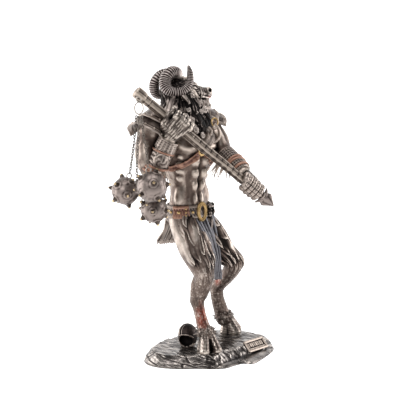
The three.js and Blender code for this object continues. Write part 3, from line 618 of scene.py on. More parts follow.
def cast_finish(name, deep, body, bright, metallic=0.85, bump=0.12, tint=(0.3, 0.1, 0.07), **numbers):
    """A finish on the cast: three colours by depth, with the patina group's numbers.
    Where a piece is marked as tinted, the tint takes the place of the middle colour."""
    material, tree, shader = new_material(name)
    hollow, tinted = (linked(tree, "ShaderNodeAttribute", attribute_name=key).outputs["Fac"]
                      for key in ("hollow", "tint"))
    inputs = {key.replace("_", " ").title(): value for key, value in numbers.items()}
    inputs |= {"Hollow": hollow, "Deep": (*deep, 1), "Bright": (*bright, 1),
               "Body": colour_mix(tree, tinted, (*body, 1), (*tint, 1))}
    patina = linked(tree, "ShaderNodeGroup", inputs, node_tree=PATINA).outputs
    relief = linked(tree, "ShaderNodeBump",
                    {"Strength": bump, "Distance": BUMP_DEPTH, "Height": patina["Height"]})
    feed(tree, shader, {"Metallic": metallic, "Base Color": patina["Colour"],
                        "Roughness": patina["Roughness"], "Normal": relief.outputs["Normal"]})
    return material


# Finishes of the cast, each with its deep, middle and rubbed colour
BRONZE = cast_finish("antique bronze", (0.009, 0.006, 0.005), (0.12, 0.086, 0.071), (0.47, 0.395, 0.34))
FUR_BRONZE = cast_finish("bronze fur", (0.01, 0.007, 0.006), (0.135, 0.1, 0.084), (0.52, 0.45, 0.395),
                         tint=(0.2, 0.05, 0.032))
MUZZLE = cast_finish("muzzle bronze", (0.008, 0.006, 0.006), (0.11, 0.088, 0.078), (0.46, 0.4, 0.36),
                     tint=(0.42, 0.22, 0.19))
HORN_BRONZE = cast_finish("ridged horn", (0.012, 0.006, 0.006), (0.075, 0.052, 0.05), (0.42, 0.37, 0.345),
                          shadowed=0.5)
DARK_HAIR = cast_finish("dark mane", (0.002, 0.0015, 0.0015), (0.021, 0.015, 0.013), (0.3, 0.25, 0.225),
                        smooth=0.34, rubbed=0.02, shadowed=0.5)
CURL_HAIR = cast_finish("curl tips", (0.002, 0.0015, 0.0015), (0.02, 0.014, 0.014),
                        (0.36, 0.31, 0.28), rubbed=0.14)
DARK_FUR = cast_finish("dark fetlock fur", (0.003, 0.002, 0.002), (0.018, 0.014, 0.012),
                       (0.21, 0.175, 0.155), rubbed=0.06)
ARMOUR = cast_finish("dark armour", (0.006, 0.004, 0.004), (0.058, 0.042, 0.037),
                     (0.34, 0.285, 0.25), smooth=0.3)
GLOVE = cast_finish("glove bronze", (0.008, 0.006, 0.005), (0.1, 0.08, 0.069),
                    (0.44, 0.38, 0.33), smooth=0.3)
LEATHER = cast_finish("red-brown leather", (0.008, 0.004, 0.003), (0.075, 0.024, 0.016),
                      (0.3, 0.16, 0.11), metallic=0.4)
DARK_LEATHER = cast_finish("dark leather", (0.005, 0.004, 0.004), (0.035, 0.025, 0.023),
                           (0.26, 0.21, 0.18), metallic=0.5)
GOLD = cast_finish("antique gold", (0.02, 0.01, 0.003), (0.2, 0.115, 0.04), (0.44, 0.3, 0.14),
                   smooth=0.3, metallic=1.0)
CLOTH = cast_finish("blue-grey cloth", (0.003, 0.003, 0.004), (0.015, 0.0145, 0.018),
                    (0.155, 0.15, 0.162), metallic=0.8)
HOOF = cast_finish("hoof bronze", (0.01, 0.007, 0.006), (0.15, 0.118, 0.103),
                   (0.48, 0.42, 0.37), smooth=0.24)
ROCK = cast_finish("slate bronze", (0.005, 0.004, 0.004), (0.065, 0.056, 0.053), (0.4, 0.36, 0.33),
                   smooth=0.2, blotch_scale=90.0, blotches=0.4)
SHAFT_WOOD = cast_finish("brown shaft", (0.013, 0.009, 0.007), (0.092, 0.07, 0.058), (0.37, 0.31, 0.26),
                         metallic=0.75)
STEEL = cast_finish("dark steel", (0.009, 0.007, 0.006), (0.052, 0.038, 0.034), (0.23, 0.19, 0.172),
                    smooth=0.36, metallic=0.9)
SPIKE_GOLD = cast_finish("gold-tipped spikes", (0.02, 0.014, 0.01), (0.085, 0.064, 0.054),
                         (0.48, 0.36, 0.21), rubbed=0.3)
CHAIN = cast_finish("wire chain", (0.02, 0.016, 0.014), (0.14, 0.12, 0.105), (0.42, 0.38, 0.34), smooth=0.25,
                    metallic=1.0)


# Torso, from the crotch to the neck: height, centre, half width, half depth, heading
TORSO = [
    (128, -14, 3, 17, 13, HIP_HEADING),
    (139, -15.5, 2, 23.5, 17, HIP_HEADING),
    (150, -16.5, 1, 21.5, 15.5, HIP_HEADING),
    (164, -16.5, 0.5, 19.5, 14, 44),
    (178, -17, 0, 21.5, 15, CHEST_HEADING),
    (191, -17.8, 0, 26.5, 18, CHEST_HEADING),
    (205, -19, 0, 31, 20, CHEST_HEADING),
    (218, -20.5, 1, 33, 18.5, CHEST_HEADING),
    (228, -21, 2, 28, 15, 48),
    (237, -22, 3, 17, 13, 52),
]
TORSO_FINE = spline(TORSO, 200)

# Muscles: turn from his front, height, spread in degrees, spread in mm, lift
MUSCLES = [
    (30, 212, 23, 9, 6.0),  # breast
    (24, 205, 15, 4, 1.6),  # its lower edge
    (0, 211, 8, 13, -1.7),  # hollow of the breastbone
    (13, 194, 10.5, 5.0, 4.0),  # belly muscles
    (13, 182.5, 10.5, 5.0, 4.0),
    (12.5, 171, 9, 4.8, 3.2),
    (11, 158, 8, 6, 1.8),
    (0, 178, 7, 26, -1.1),  # the line between them
    (62, 160, 20, 9, 3.4),  # flank
    (47, 199, 7, 2.6, 2.0),  # ribs
    (52, 192, 8, 2.6, 2.2),
    (56, 185, 9, 2.6, 2.2),
    (60, 178, 9, 2.6, 1.8),
    (35, 181, 9, 17, -1.3),  # hollow beside the belly
    (28, 230, 22, 2.2, 1.6),  # collar bone
    (100, 206, 22, 15, 3.2),  # side of the back
    (180, 190, 8, 34, -3.4),  # hollow of the spine
    (166, 172, 9, 24, 2.0),
    (145, 215, 17, 9, 3.4),  # shoulder blade
    (150, 137, 22, 9, 4.5),  # buttock
]


def relief(turn, height):
    """How far the muscles lift the torso's skin."""
    side = np.abs((turn + 540) % 360 - 180)
    lift = 0
    for at, level, spread, tall, rise in MUSCLES:
        far = ((side - at) / spread) ** 2 + ((height - level) / tall) ** 2
        lift = lift + rise * np.exp(-far ** 1.5)
    return lift


def torso_at(height):
    """The torso's centre, half width, half depth and heading in radians, at heights."""
    columns = [np.interp(height, TORSO_FINE[:, 0], TORSO_FINE[:, k]) for k in range(1, 6)]
    columns[4] = np.radians(columns[4])
    return columns


def on_torso(turn, height, lift=0.0):
    """Points on the torso at turns in degrees from his front to his left, raised by `lift`."""
    turn, height, lift = np.broadcast_arrays(np.asarray(turn, float), height, lift)
    x, y, wide, deep, heading = torso_at(height)
    out = lift + relief(turn, height)
    across = np.sin(np.radians(turn)) * (wide + out)
    ahead = np.cos(np.radians(turn)) * (deep + out)
    return np.stack([x + across * np.cos(heading) + ahead * np.sin(heading),
                     y + across * np.sin(heading) - ahead * np.cos(heading), height * 1.0], axis=-1)


def out_of_torso(turn, height):
    outward = on_torso(turn, height, 1.0) - on_torso(turn, height)
    return outward / np.linalg.norm(outward, axis=-1, keepdims=True)


def press_torso(clay, low, high):
    """Presses the torso between two heights on to the clay."""
    slices, (x, y, z) = clay.window((-60, -40, low), (25, 45, high))
    cx, cy, wide, deep, heading = torso_at(z)
    across = (x - cx) * np.cos(heading) + (y - cy) * np.sin(heading)
    ahead = (x - cx) * np.sin(heading) - (y - cy) * np.cos(heading)
    size = np.sqrt((across / wide) ** 2 + (ahead / deep) ** 2) + 1e-6
    turn = np.degrees(np.arctan2(across / wide, ahead / deep))
    reach = np.sqrt(across ** 2 + ahead ** 2) / size
    distance = (size - 1) * reach - relief(turn, z)
    clay.press(slices, np.maximum(distance, np.maximum(low - z, z - high)), 2.0)


def on_leg_fur(points, path, side, seed):
    """Fur combed down a leg, from 0 to 1 in height: tufts are long on the thigh, short from the knee down."""
    far = run_along(path)
    nearest = np.argmin(((points[:, None, :] - path[None]) ** 2).sum(axis=2), axis=1)
    tangents = np.gradient(path, axis=0)
    across = np.array([square_to(side, along) for along in tangents])
    square = np.array([np.cross(unit(along), a) for along, a in zip(tangents, across)])
    away = points - path[nearest]
    along = far[nearest] + np.einsum("ij,ij->i", away, tangents[nearest] / np.diff(far).mean())
    turn = np.arctan2(np.einsum("ij,ij->i", away, square[nearest]),
                      np.einsum("ij,ij->i", away, across[nearest]))
    knee = far[np.argmin(np.abs(path[:, 2] - KNEE))]
    tufts_down = np.interp(along, (0, knee, far[-1]),
                           (0, knee / LONG_TUFT, knee / LONG_TUFT + (far[-1] - knee) / SHORT_TUFT))
    return tufts(points, turn / math.tau * TUFTS_ROUND, tufts_down, TUFTS_ROUND, seed)


def tufts(points, column_at, along, columns, seed):
    """Staggered pointed tufts, given the column and the row of every point."""
    column_at = column_at + 0.42 * noise(points, (7, 7, 14), seed)
    column = np.floor(column_at)
    aside = np.abs(column_at - column - 0.5) * 2
    shift = np.modf(np.sin((column % columns) * 12.9898 + seed) * 43758.5453)[0]
    along = along + shift + 0.9 * aside + 0.35 * noise(points, (5, 5, 8), seed + 1)
    run = along - np.floor(along)
    strand = 0.07 * np.cos(column_at * 6 * math.pi)
    return (run ** 0.8 + strand) * (1 - aside ** 2.4)


# Legs: sections down the limb, with the half width in the leg's own plane
LEG_R = [
    (-20, -6, 147, 13, 13), (-20.5, -9, 137, 15, 14), (-17, -12, 124, 15.5, 13), (-12, -16, 111, 15.5, 13),
    (-6.5, -19, 100, 14, 12), (-1.5, -22, 89, 11.5, 10), (-1.5, -20.5, 79, 9.5, 8.8), (-4, -17, 69, 8.5, 7.4),
    (-7, -13, 59.5, 7, 6.4), (-6, -15, 51, 6, 5.6), (-3.5, -18.5, 41, 6, 5.8), (1.5, -24.5, 26, 7.2, 7),
]
LEG_L = [
    (-8, 12, 146, 13, 13), (-5, 14, 134, 14, 13), (2.5, 14, 122, 13.5, 12.5), (10.5, 13, 111, 12.5, 12),
    (19.5, 11.5, 101, 12, 11.5), (28, 11, 92, 10.5, 10), (26, 15.5, 82, 8.6, 8), (20, 23, 72, 7.6, 7),
    (13, 29.5, 62, 7, 6.5), (12.5, 31, 53, 6.8, 6), (15, 32, 42, 7.2, 6), (20, 34.5, 27, 8.6, 7.5),
]
KNEE = 92
LONG_TUFT = 19
SHORT_TUFT = 7
TUFTS_ROUND = 13

# Shapes pressed on to each leg, in order. A muscle: start, end, radius, fillet, flatness and facing.
# A lump: centre, half sizes, no directions of its own, and fillet.
SHAPES_R = [
    (Clay.muscle, (-24, -14, 142), (-10, -31, 96), 7.5, 3, 0.8, front(10)),
    (Clay.muscle, (-14, -20, 140), (2, -29, 93), 6.0, 2.5, 0.8, front(10)),
    (Clay.muscle, (-33, -12, 146), (-17, -24, 100), 6.5, 3, 0.7, front(-60)),
    (Clay.muscle, (-4, -12, 130), (8, -22, 92), 6.0, 2.5, 0.8, front(90)),
    (Clay.lump, (0, -28, 88), (5.5, 5, 6), None, 4),
    (Clay.muscle, (-9, -18, 84), (-11, -15, 56), 4.6, 2.5, 0.9, front(-60)),
    (Clay.muscle, (2, -24, 84), (-6, -17, 54), 3.6, 2.0, 0.9, front(10)),
    (Clay.lump, (-10.5, -10.5, 58), (4, 4, 6), None, 3),
    (Clay.lump, (1, -24, 31), (6.6, 6.6, 5), None, 3),
]
SHAPES_L = [
    (Clay.muscle, (-2, 2, 142), (24, 1, 97), 7.5, 3, 0.8, front(25)),
    (Clay.muscle, (6, 4, 140), (31, 3, 95), 6.0, 2.5, 0.8, front(70)),
    (Clay.muscle, (-8, 4, 130), (16, 4, 90), 6.0, 2.5, 0.8, front(-10)),
    (Clay.lump, (32, 9, 92), (6.5, 6, 6.5), None, 4),
    (Clay.muscle, (27, 10, 88), (14, 25, 62), 4.8, 2.5, 0.9, front(25)),
    (Clay.muscle, (30, 18, 86), (14, 33, 62), 4.2, 2.0, 0.9, front(110)),
    (Clay.lump, (9.5, 33, 62), (4, 4, 6), None, 3),
    (Clay.lump, (19.5, 34, 31), (7.4, 7, 5), None, 3),
]


def leg(name, block, sections, plane, shapes, inner, seed, patch, spread, stain, patch_seed):
    """A furred leg, smooth outside, streaked on the side that faces `inner`, with a reddish patch."""
    clay = Clay(*block, 0.65)
    clay.limb([(x, y, z, a * 0.95, b * 0.95) for x, y, z, a, b in sections], plane, steps=4)
    for shape, *row in shapes:
        shape(clay, *row)
    points, quads, outward, shade = clay.finished()
    fur = on_leg_fur(points, spline([row[:3] for row in sections], 90), plane, seed)
    low = clamp((KNEE + 8 - points[:, 2]) / 24)
    patches = clamp(0.8 + 1.2 * noise(points, (9, 9, 16), seed + 3))
    streaked = clamp(1.2 * outward @ inner - 0.1) * patches * (1 - low)
    curly = 0.5 + 0.3 * noise(points, (2.2, 2.2, 3.4), seed + 5) + 0.3 * noise(points, 1.3, seed + 6)
    rise = (fur - 0.45) * (0.06 + 1.1 * streaked + 0.16 * low) + (curly - 0.5) * 0.55 * low
    points = raised(points, outward, rise)
    depth = 0.85 * shade - 0.12 + streaked * (0.34 - 1.0 * (fur - 0.5)) + 0.18 * low
    away = lengths((points - patch) / spread)
    red = clamp(stain - away + 0.35 * noise(points, 4, patch_seed))
    piece(name, points, quads, FUR_BRONZE, depth, strength=2.5, tint=red)


def legs():
    leg("leg_right", ((-44, -46, 16), (22, 24, 152)), LEG_R, front(48), SHAPES_R, front(60), 3,
        (-3, -23, 44), (7, 7, 13), 1.3, 5)
    leg("leg_left", ((-26, -8, 18), (48, 50, 152)), LEG_L, front(80), SHAPES_L, front(20), 8,
        (13, 19, 74), (7, 7, 8), 1.2, 6)


def hoof(name, at, heading):
    """A cloven hoof, flat below, with growth rings."""
    foot, toe, aside = np.array(at, float), front(heading), left(heading)
    clay = Clay(foot - (21, 21, 2), foot + (21, 21, 22), 0.57)
    for s in (-1, 1):
        top = foot - toe * 3.5 + aside * s * 2.4 + UP * 16
        low = foot + toe * 4.5 + aside * s * 6.3 + UP * 1.0
        heel = foot - toe * 5 + aside * s * 5.2 + UP * 1.0
        clay.bone(top, low, (4.2, 5.0), (5.0, 7.0), aside, 0.6)
        clay.bone(top, heel, (4.2, 4.6), (4.8, 5.2), aside, 1.0)
    slices, (x, y, z) = clay.window(foot - 19, foot + 25)
    clay.press(slices, z - foot[2] + 0 * x + 0 * y, 0.5, carve=True)
    points, quads, outward, shade = clay.finished()
    rings = 0.04 * np.cos((points[:, 2] + 0.2 * points @ toe) * 2.6)
    side = clamp(points[:, 2] - foot[2] - 0.8)
    points = raised(points, outward, rings * side + 0.1 * noise(points, (1.2, 1.2, 8), 4) * side)
    piece(name, points, quads, HOOF, 0.8 * shade)


def lock(root, along, length, radius, sag=0.3, wave=0.0, seed=0, sides=8, rings=10, grooves=3):
    """A lock of hair: it thins towards its tip, sags as it leaves its root and sways from side to side."""
    chance = np.random.default_rng(seed)
    along = unit(along)
    aside = square_to(chance.normal(size=3), along)
    t = np.linspace(0, 1, rings)[:, None]
    sway = np.sin(t * (4 + 2 * chance.random()) + 6 * chance.random()) * wave * t
    path = np.asarray(root) + along * length * t + DOWN * length * sag * t ** 2 + aside * sway
    halves = radius * (1 - t ** 1.6 * 0.92) * (0.75 + 0.25 * np.sin(math.pi * np.minimum(t * 1.6, 1)))

    def strands(turns, at):
        return 1 + 0.16 * np.cos(grooves * turns + 5 * at)

    return tube(path, np.hstack([halves, halves * 0.8]), sides, aside, swell=strands, ends=(0.2, 0.9))


def fetlock(name, at, radius, seed):
    """A ragged cuff of fur that flares over the hoof."""
    chance = np.random.default_rng(seed)
    parts = []
    for level, count, long in ((-1.0, 14, 4.4), (1.5, 16, 5.0), (4.0, 15, 5.0), (6.5, 12, 4.2)):
        for k in range(count):
            out = front(360 * (k + 0.4 * chance.random()) / count)
            root = np.array(at) + out * radius * 0.72 + UP * level
            along = out + DOWN * (0.5 - 0.9 * chance.random()) + chance.normal(size=3) * 0.35
            parts.append(lock(root, along, long * (0.7 + 0.6 * chance.random()), 1.5, 0.1, 0.5,
                              seed + k, 7, 7))
    piece(name, *joined(parts), DARK_FUR)


# Torso and arms
def at_share(start, end, share):
    return np.asarray(start, float) + (np.asarray(end, float) - start) * share


def body():
    clay = Clay((-76, -58, 122), (46, 52, 254), 0.95)
    press_torso(clay, 124, 238)
    clay.limb([(-19.5, 2, 224, 15, 13), (-22, 3.5, 240, 13, 12), (-25, 5, 256, 11, 11)], left(60), 5)
    for s in (-1, 1):
        clay.bone((-22, 4, 240), on_torso(s * 88, 224, -5), 8, 8, UP, 5)
    chest = np.array((-20.5, 1, 218))
    clay.bone(chest, SHOULDER_R, 13.5, 13.8, UP, 4)
    clay.bone(chest, SHOULDER_L, 13.5, 14.0, UP, 4)
    upper_r = [(*SHOULDER_R, 12.3, 12.3), (-53, -30, 212, 11.8, 11.4), (-54, -34, 198, 10.4, 10.4),
               (*ELBOW_R, 8.6, 8.6)]
    clay.limb(upper_r, NEARER, 3)
    for row in (((-57, -35, 220), (-52, -43, 189), 7.2, 2.4, 0.9, NEARER),
                ((-62, -26, 216), (-53, -33, 186), 6.5, 2.0, 0.9, front(-90)),
                ((-52, -22, 234), (-57, -36, 205), 8.5, 2.4, 0.8, front(-45))):
        clay.muscle(*row)
    upper_l = [(*SHOULDER_L, 11.4, 11.4), (9, 21, 214, 10.2, 10.2), (*ELBOW_L, 8.2, 8.2)]
    clay.limb(upper_l, UP, 3)
    clay.muscle((6, 18, 228), (18, 5, 203), 6.6, 2.2, 0.9, front(40))
    clay.muscle((12, 26, 226), (22, 12, 201), 6.2, 2.0, 0.9, front(110))
    clay.bone(ELBOW_R, WRIST_R, 8.8, 6.6, NEARER, 3)
    clay.bone(ELBOW_L, WRIST_L, 8.2, 6.4, NEARER, 3)
    points, quads, outward, shade = clay.finished()
    skin = 0.03 * noise(points, 1.2, 2) + 0.22 * noise(points, (6, 6, 8), 7)
    veins = clamp(1 - np.abs(noise(points, (8, 8, 16), 12)) * 14) * 0.12
    arm = clamp((np.hypot(points[:, 0] + 18, points[:, 1]) - 33) / 5)
    points = raised(points, outward, skin + veins * arm)
    piece("torso", points, quads, BRONZE, 0.9 * shade, strength=4.0)


def forearm_frame(elbow, wrist):
    """A forearm's ends, its direction and the two directions square to it."""
    elbow, wrist = np.asarray(elbow, float), np.asarray(wrist, float)
    along = unit(wrist - elbow)
    side = square_to(NEARER, along)
    return elbow, wrist, along, side, np.cross(along, side)


def sleeve(elbow, wrist, profile, pattern, sides=76, rows=68):
    """A cuff round a forearm: `profile` gives its radius by share, `pattern` its relief by turn and share."""
    THICK = 1.6
    elbow, wrist, _, side, square = forearm_frame(elbow, wrist)
    profile = np.array(profile)
    shares = np.linspace(profile[0, 0], profile[-1, 0], rows)
    turns = full_turn(sides)
    radius = np.interp(shares, profile[:, 0], profile[:, 1])[:, None] + pattern(turns[None], shares[:, None])
    spots = at_share(elbow, wrist, shares[:, None])[:, None]
    ring = np.cos(turns)[:, None] * side + np.sin(turns)[:, None] * square
    outer = spots + radius[..., None] * ring[None]
    inner = spots[::-1] + (radius[::-1] - THICK)[..., None] * ring[None]
    return looped(np.concatenate([outer, inner]))


def round_arm(elbow, wrist, share, radius, half, thick, tilt=0.0, spin=0.0):
    """A strap wound round a forearm, leaning by `tilt` mm across it."""
    elbow, wrist, along, side, square = forearm_frame(elbow, wrist)
    middle = at_share(elbow, wrist, share)
    rows = []
    for turn in np.linspace(0, math.tau, 64, endpoint=False):
        out = side * math.cos(turn) + square * math.sin(turn)
        spot = middle + out * radius + along * tilt * math.cos(turn - spin)
        section = [(-1, -0.4), (-0.8, 0.8), (0, 1), (0.8, 0.8), (1, -0.4), (0, -0.8)]
        rows.append([spot + along * half * a + out * thick * b for a, b in section])
    return looped(np.array(rows))


def bracers():
    """Cuffs with raised bands on both forearms, straps round them and a domed boss on the right one."""
    def grid(turns, shares):
        bands = np.maximum(0, np.cos(shares * math.tau * 17)) ** 2
        threads = np.maximum(0, np.cos(turns * 16)) ** 2
        edge = ridge(shares, 0.735, 0.012) + ridge(shares, 0.985, 0.012)
        return 0.28 * bands + 0.22 * threads + 0.7 * edge

    def hide(turns, shares):
        ribs = np.maximum(0, np.cos(turns * 9 + shares * 7)) ** 3
        return 0.35 * ribs + 0.25 * np.cos(shares * 60 + 3 * np.sin(turns * 2))

    def lames(turns, shares):
        step = (shares - 0.04) / 0.093
        return 0.9 * (step - np.floor(step)) + 0.12 * np.cos(turns * 22)

    cuff_r = sleeve(ELBOW_R, WRIST_R, [(0.72, 9.5), (0.8, 9.9), (1.0, 9.2)], grid)
    hide_r = sleeve(ELBOW_R, WRIST_R, [(0.0, 8.8), (0.1, 10), (0.3, 10), (0.6, 9.3), (0.75, 8.6)], hide)
    cuff_l = sleeve(ELBOW_L, WRIST_L, [(0.02, 8.6), (0.3, 9.0), (0.6, 9.0), (0.98, 8.2)], lames, 96, 120)
    piece("bracer_cuff_right", *turned(cuff_r), ARMOUR)
    piece("bracer_hide_right", *turned(hide_r), ARMOUR)
    piece("bracer_left", *turned(cuff_l), ARMOUR)
    # share of the way to the wrist, radius, half width, thickness, lean and where it leans
    right_arm = ((0.08, 11.2, 1.3, 0.8, 1.5, 0.4), (0.17, 11.3, 1.2, 0.8, -1.2, 1.2),
                 (0.27, 11.0, 1.2, 0.7, 1.0, 2.0), (0.66, 9.9, 0.9, 0.6, 1.4, 0.8))
    left_arm = ((0.5, 9.9, 1.3, 0.8, 0.8, 0.4), (0.62, 9.8, 1.4, 0.9, -0.9, 1.0),
                (0.86, 9.2, 1.5, 0.8, 0.4, 0.0))
    straps = [round_arm(ELBOW_R, WRIST_R, *row) for row in right_arm]
    straps += [round_arm(ELBOW_L, WRIST_L, *row) for row in left_arm]
    piece("bracer_straps", *joined(straps), LEATHER)
    boss()


def boss():
    """The domed plate on his right forearm, with a swirl raised on it."""
    elbow, wrist, along, _, _ = forearm_frame(ELBOW_R, WRIST_R)
    out = unit(square_to((0.25, -1, 0.1), along))
    aside = np.cross(along, out)
    centre = at_share(elbow, wrist, 0.48)

    def surface(u, w):
        far = w
        turn = math.tau * u
        swirl = 0.24 * np.cos(3 * turn + 7 * far) * np.sin(math.pi * far)
        rim = 0.8 * ridge(far, 0.86, 0.07)
        rise = 12.9 - 4.4 * far ** 2 + swirl + rim
        spread = 7.2 * far
        return (centre + out * rise[:, None] + along * (spread * np.cos(turn))[:, None]
                + aside * (spread * 0.95 * np.sin(turn))[:, None])

    piece("bracer_boss", *plate(surface, 72, 26, 1.2), ARMOUR)


def strands(name, roots, along, length, material, seed):
    """Strands that hang and curl, from roots given with their way out."""
    chance = np.random.default_rng(seed)
    parts = []
    for root, out in roots:
        way = unit(np.asarray(along) + np.asarray(out) * 0.5 + chance.normal(size=3) * 0.12)
        parts.append(lock(root, way, length * (0.75 + 0.5 * chance.random()), 1.7, 0.3, 3.2,
                          int(chance.integers(1e6)), 8, 14, 2))
    piece(name, *joined(parts), material)


def fringes():
    """Strands that hang below both elbows."""
    for name, elbow, wrist, turns, length in (("fringe_right", ELBOW_R, WRIST_R, range(20, 130, 14), 13),
                                              ("fringe_left", ELBOW_L, WRIST_L, range(-100, 40, 11), 19)):
        root = at_share(elbow, wrist, 0.2)
        roots = [(root + front(turn) * 8.5, front(turn)) for turn in turns]
        strands(name, roots, DOWN, length, BRONZE, 5)


# Hands
SHAFT = unit(np.subtract(SPEAR_TIP, SHAFT_TOP))
NEAR = square_to(NEARER, SHAFT)
OVER = np.cross(NEAR, SHAFT)


def in_hand(hand, along, near, over):
    """A place in a fist: along the shaft, on its near side and across it."""
    return np.asarray(hand, float) + SHAFT * along + NEAR * near + OVER * over


def right_hand():
    """The back of a furred fist, with its knuckles over the shaft and the fingers curled behind it."""
    hand = np.array(HAND_R, float)
    clay = Clay(hand - (20, 18, 24), hand + (20, 18, 22), 0.53)
    wrist = np.array(WRIST_R, float)
    clay.bone(wrist, in_hand(hand, -1, 3, -6), (6.6, 6.2), (8.2, 5.4), SHAFT, 2)
    clay.bone(in_hand(hand, -1, 3, -6), in_hand(hand, 1, 4.6, 5), (8.8, 5.2), (9.8, 4.4), SHAFT, 2)
    for k, lift in enumerate((0.3, 0.9, 0.6, -0.4)):
        along = -7.0 + 5.3 * k
        knuckle = in_hand(hand, along, 5.4, 5.0 + lift)
        clay.bone(in_hand(hand, along * 0.5, 6.4, -9), knuckle, 1.3, 2.0, SHAFT, 1.4)
        clay.lump(knuckle, (2.9, 2.9, 2.9), blend=2.0)
        joints = [knuckle, in_hand(hand, along, 1.5, 8.6 + lift), in_hand(hand, along, -5.6, 6.6),
                  in_hand(hand, along, -7.8, 0), in_hand(hand, along, -5.8, -4.6)]
        for a, b in zip(joints[:-1], joints[1:]):
            clay.bone(a, b, 2.8, 2.6, SHAFT, 1.0)
    thumb = [in_hand(hand, -7, -3, -7), in_hand(hand, -11, -5.5, 1), np.array((-29.2, -41.5, 241)),
             np.array((-28.2, -41.2, 246))]
    clay.digit(thumb, (4.6, 3.8, 3.0, 2.0), NEAR, 1.4)
    clay.lump(in_hand(hand, -8, 0, -7), (5.5, 5.5, 6.5), blend=2)
    points, quads, outward, shade = clay.finished()
    combed_way = (points - hand) @ SHAFT
    fur = tufts(points, combed_way / 2.4, -(points - hand) @ OVER / 9, 16, 4)
    points = raised(points, outward, 0.2 * (fur - 0.4))
    piece("hand_right", points, quads, GLOVE, 0.8 * shade)


def left_hand():
    """A gloved fist: four fingers with bands across them lie over the shaft."""
    hand = np.array(HAND_L, float)
    clay = Clay(hand - (22, 18, 18), hand + (18, 18, 22), 0.53)
    wrist = np.array(WRIST_L, float)
    clay.bone(wrist, in_hand(hand, -2, -4.4, 5), (6.2, 6.2), (7.2, 5.0), SHAFT, 2)
    clay.bone(in_hand(hand, -1.5, -4.4, 5), in_hand(hand, 0, -5.6, -2.5), (8.2, 4.0), (7.8, 3.4), SHAFT, 2)
    thumb = [in_hand(hand, -7.5, -4.4, 2.6), in_hand(hand, -10.8, 0.4, 5.8), in_hand(hand, -10.6, 5.8, 2.4),
             in_hand(hand, -9.4, 6.6, -2.8)]
    clay.digit(thumb, (3.7, 3.2, 2.7, 2.0), NEAR, 1.4)
    points, quads, outward, shade = clay.finished()
    points = raised(points, outward, 0.14 * noise(points, 1.3, 3))
    piece("hand_left", points, quads, ARMOUR, 0.8 * shade)
    ROWS, SIDES, BANDS = 109, 16, 11

    def in_band(at):
        """How far a place along a finger is through its band, from 0 to 1."""
        step = at * BANDS + 0.3
        return step - np.floor(step)

    def banded(_, at):
        return 0.84 + 0.24 * in_band(at) ** 0.5

    parts = []
    for k, reach in enumerate((7.2, 7.6, 7.4, 6.9)):
        along = -6.8 + 4.9 * k
        turns = np.radians(np.linspace(150, -118, ROWS))
        path = np.array([in_hand(hand, along, math.cos(a) * reach, math.sin(a) * reach) for a in turns])
        halves = np.full((ROWS, 2), (2.4, 2.15))
        parts.append(tube(path, halves, SIDES, SHAFT, True, banded, (0.5, 0.8)))
    gaps = ring_values(0.3 * (1 - in_band(np.linspace(0, 1, ROWS))) ** 2 + 0.2, SIDES)
    piece("fingers_left", *joined(parts), ARMOUR, np.tile(gaps, len(parts)), strength=5.0)


# Head, in its own directions: along the nose, to his left and up
def about(vector, axis, degrees):
    """A vector turned round an axis."""
    axis, turn = unit(axis), math.radians(degrees)
    return (vector * math.cos(turn) + np.cross(axis, vector) * math.sin(turn)
            + axis * np.dot(axis, vector) * (1 - math.cos(turn)))


HEAD_FRONT = front(HEAD_HEADING)
HEAD_LEFT = about(left(HEAD_HEADING), HEAD_FRONT, HEAD_ROLL)
HEAD_UP = np.cross(HEAD_FRONT, HEAD_LEFT)
HEAD_AXES = np.array([HEAD_FRONT, HEAD_LEFT, HEAD_UP])


def in_head(rows):
    """Points given as forward, to his left and up of the skull's middle."""
    return np.asarray(rows, float) @ HEAD_AXES + np.array(SKULL, float)


FACE = [
    # along the nose, aside, up, half height, half width
    (-10, 0, 0, 7, 7), (-3, 0, 0.5, 11.2, 10.6), (5, 0, -0.5, 11.6, 10.4), (12, 0, -2.5, 9.2, 8.4),
    (19, 0, -4, 7.2, 6.6), (26, 0, -4.5, 5.8, 6.0), (30.5, 0, -4.6, 5.0, 6.0),
]
JAW = [(2, 0, -9, 6.6, 7.4), (14, 0, -12.2, 5.0, 5.6), (26.5, 0, -12.4, 3.2, 4.2)]
EYE_AT = (13.2, 7.4, 0.6)
HORN_ROOT = np.array((-4.5, 8.5, 4))


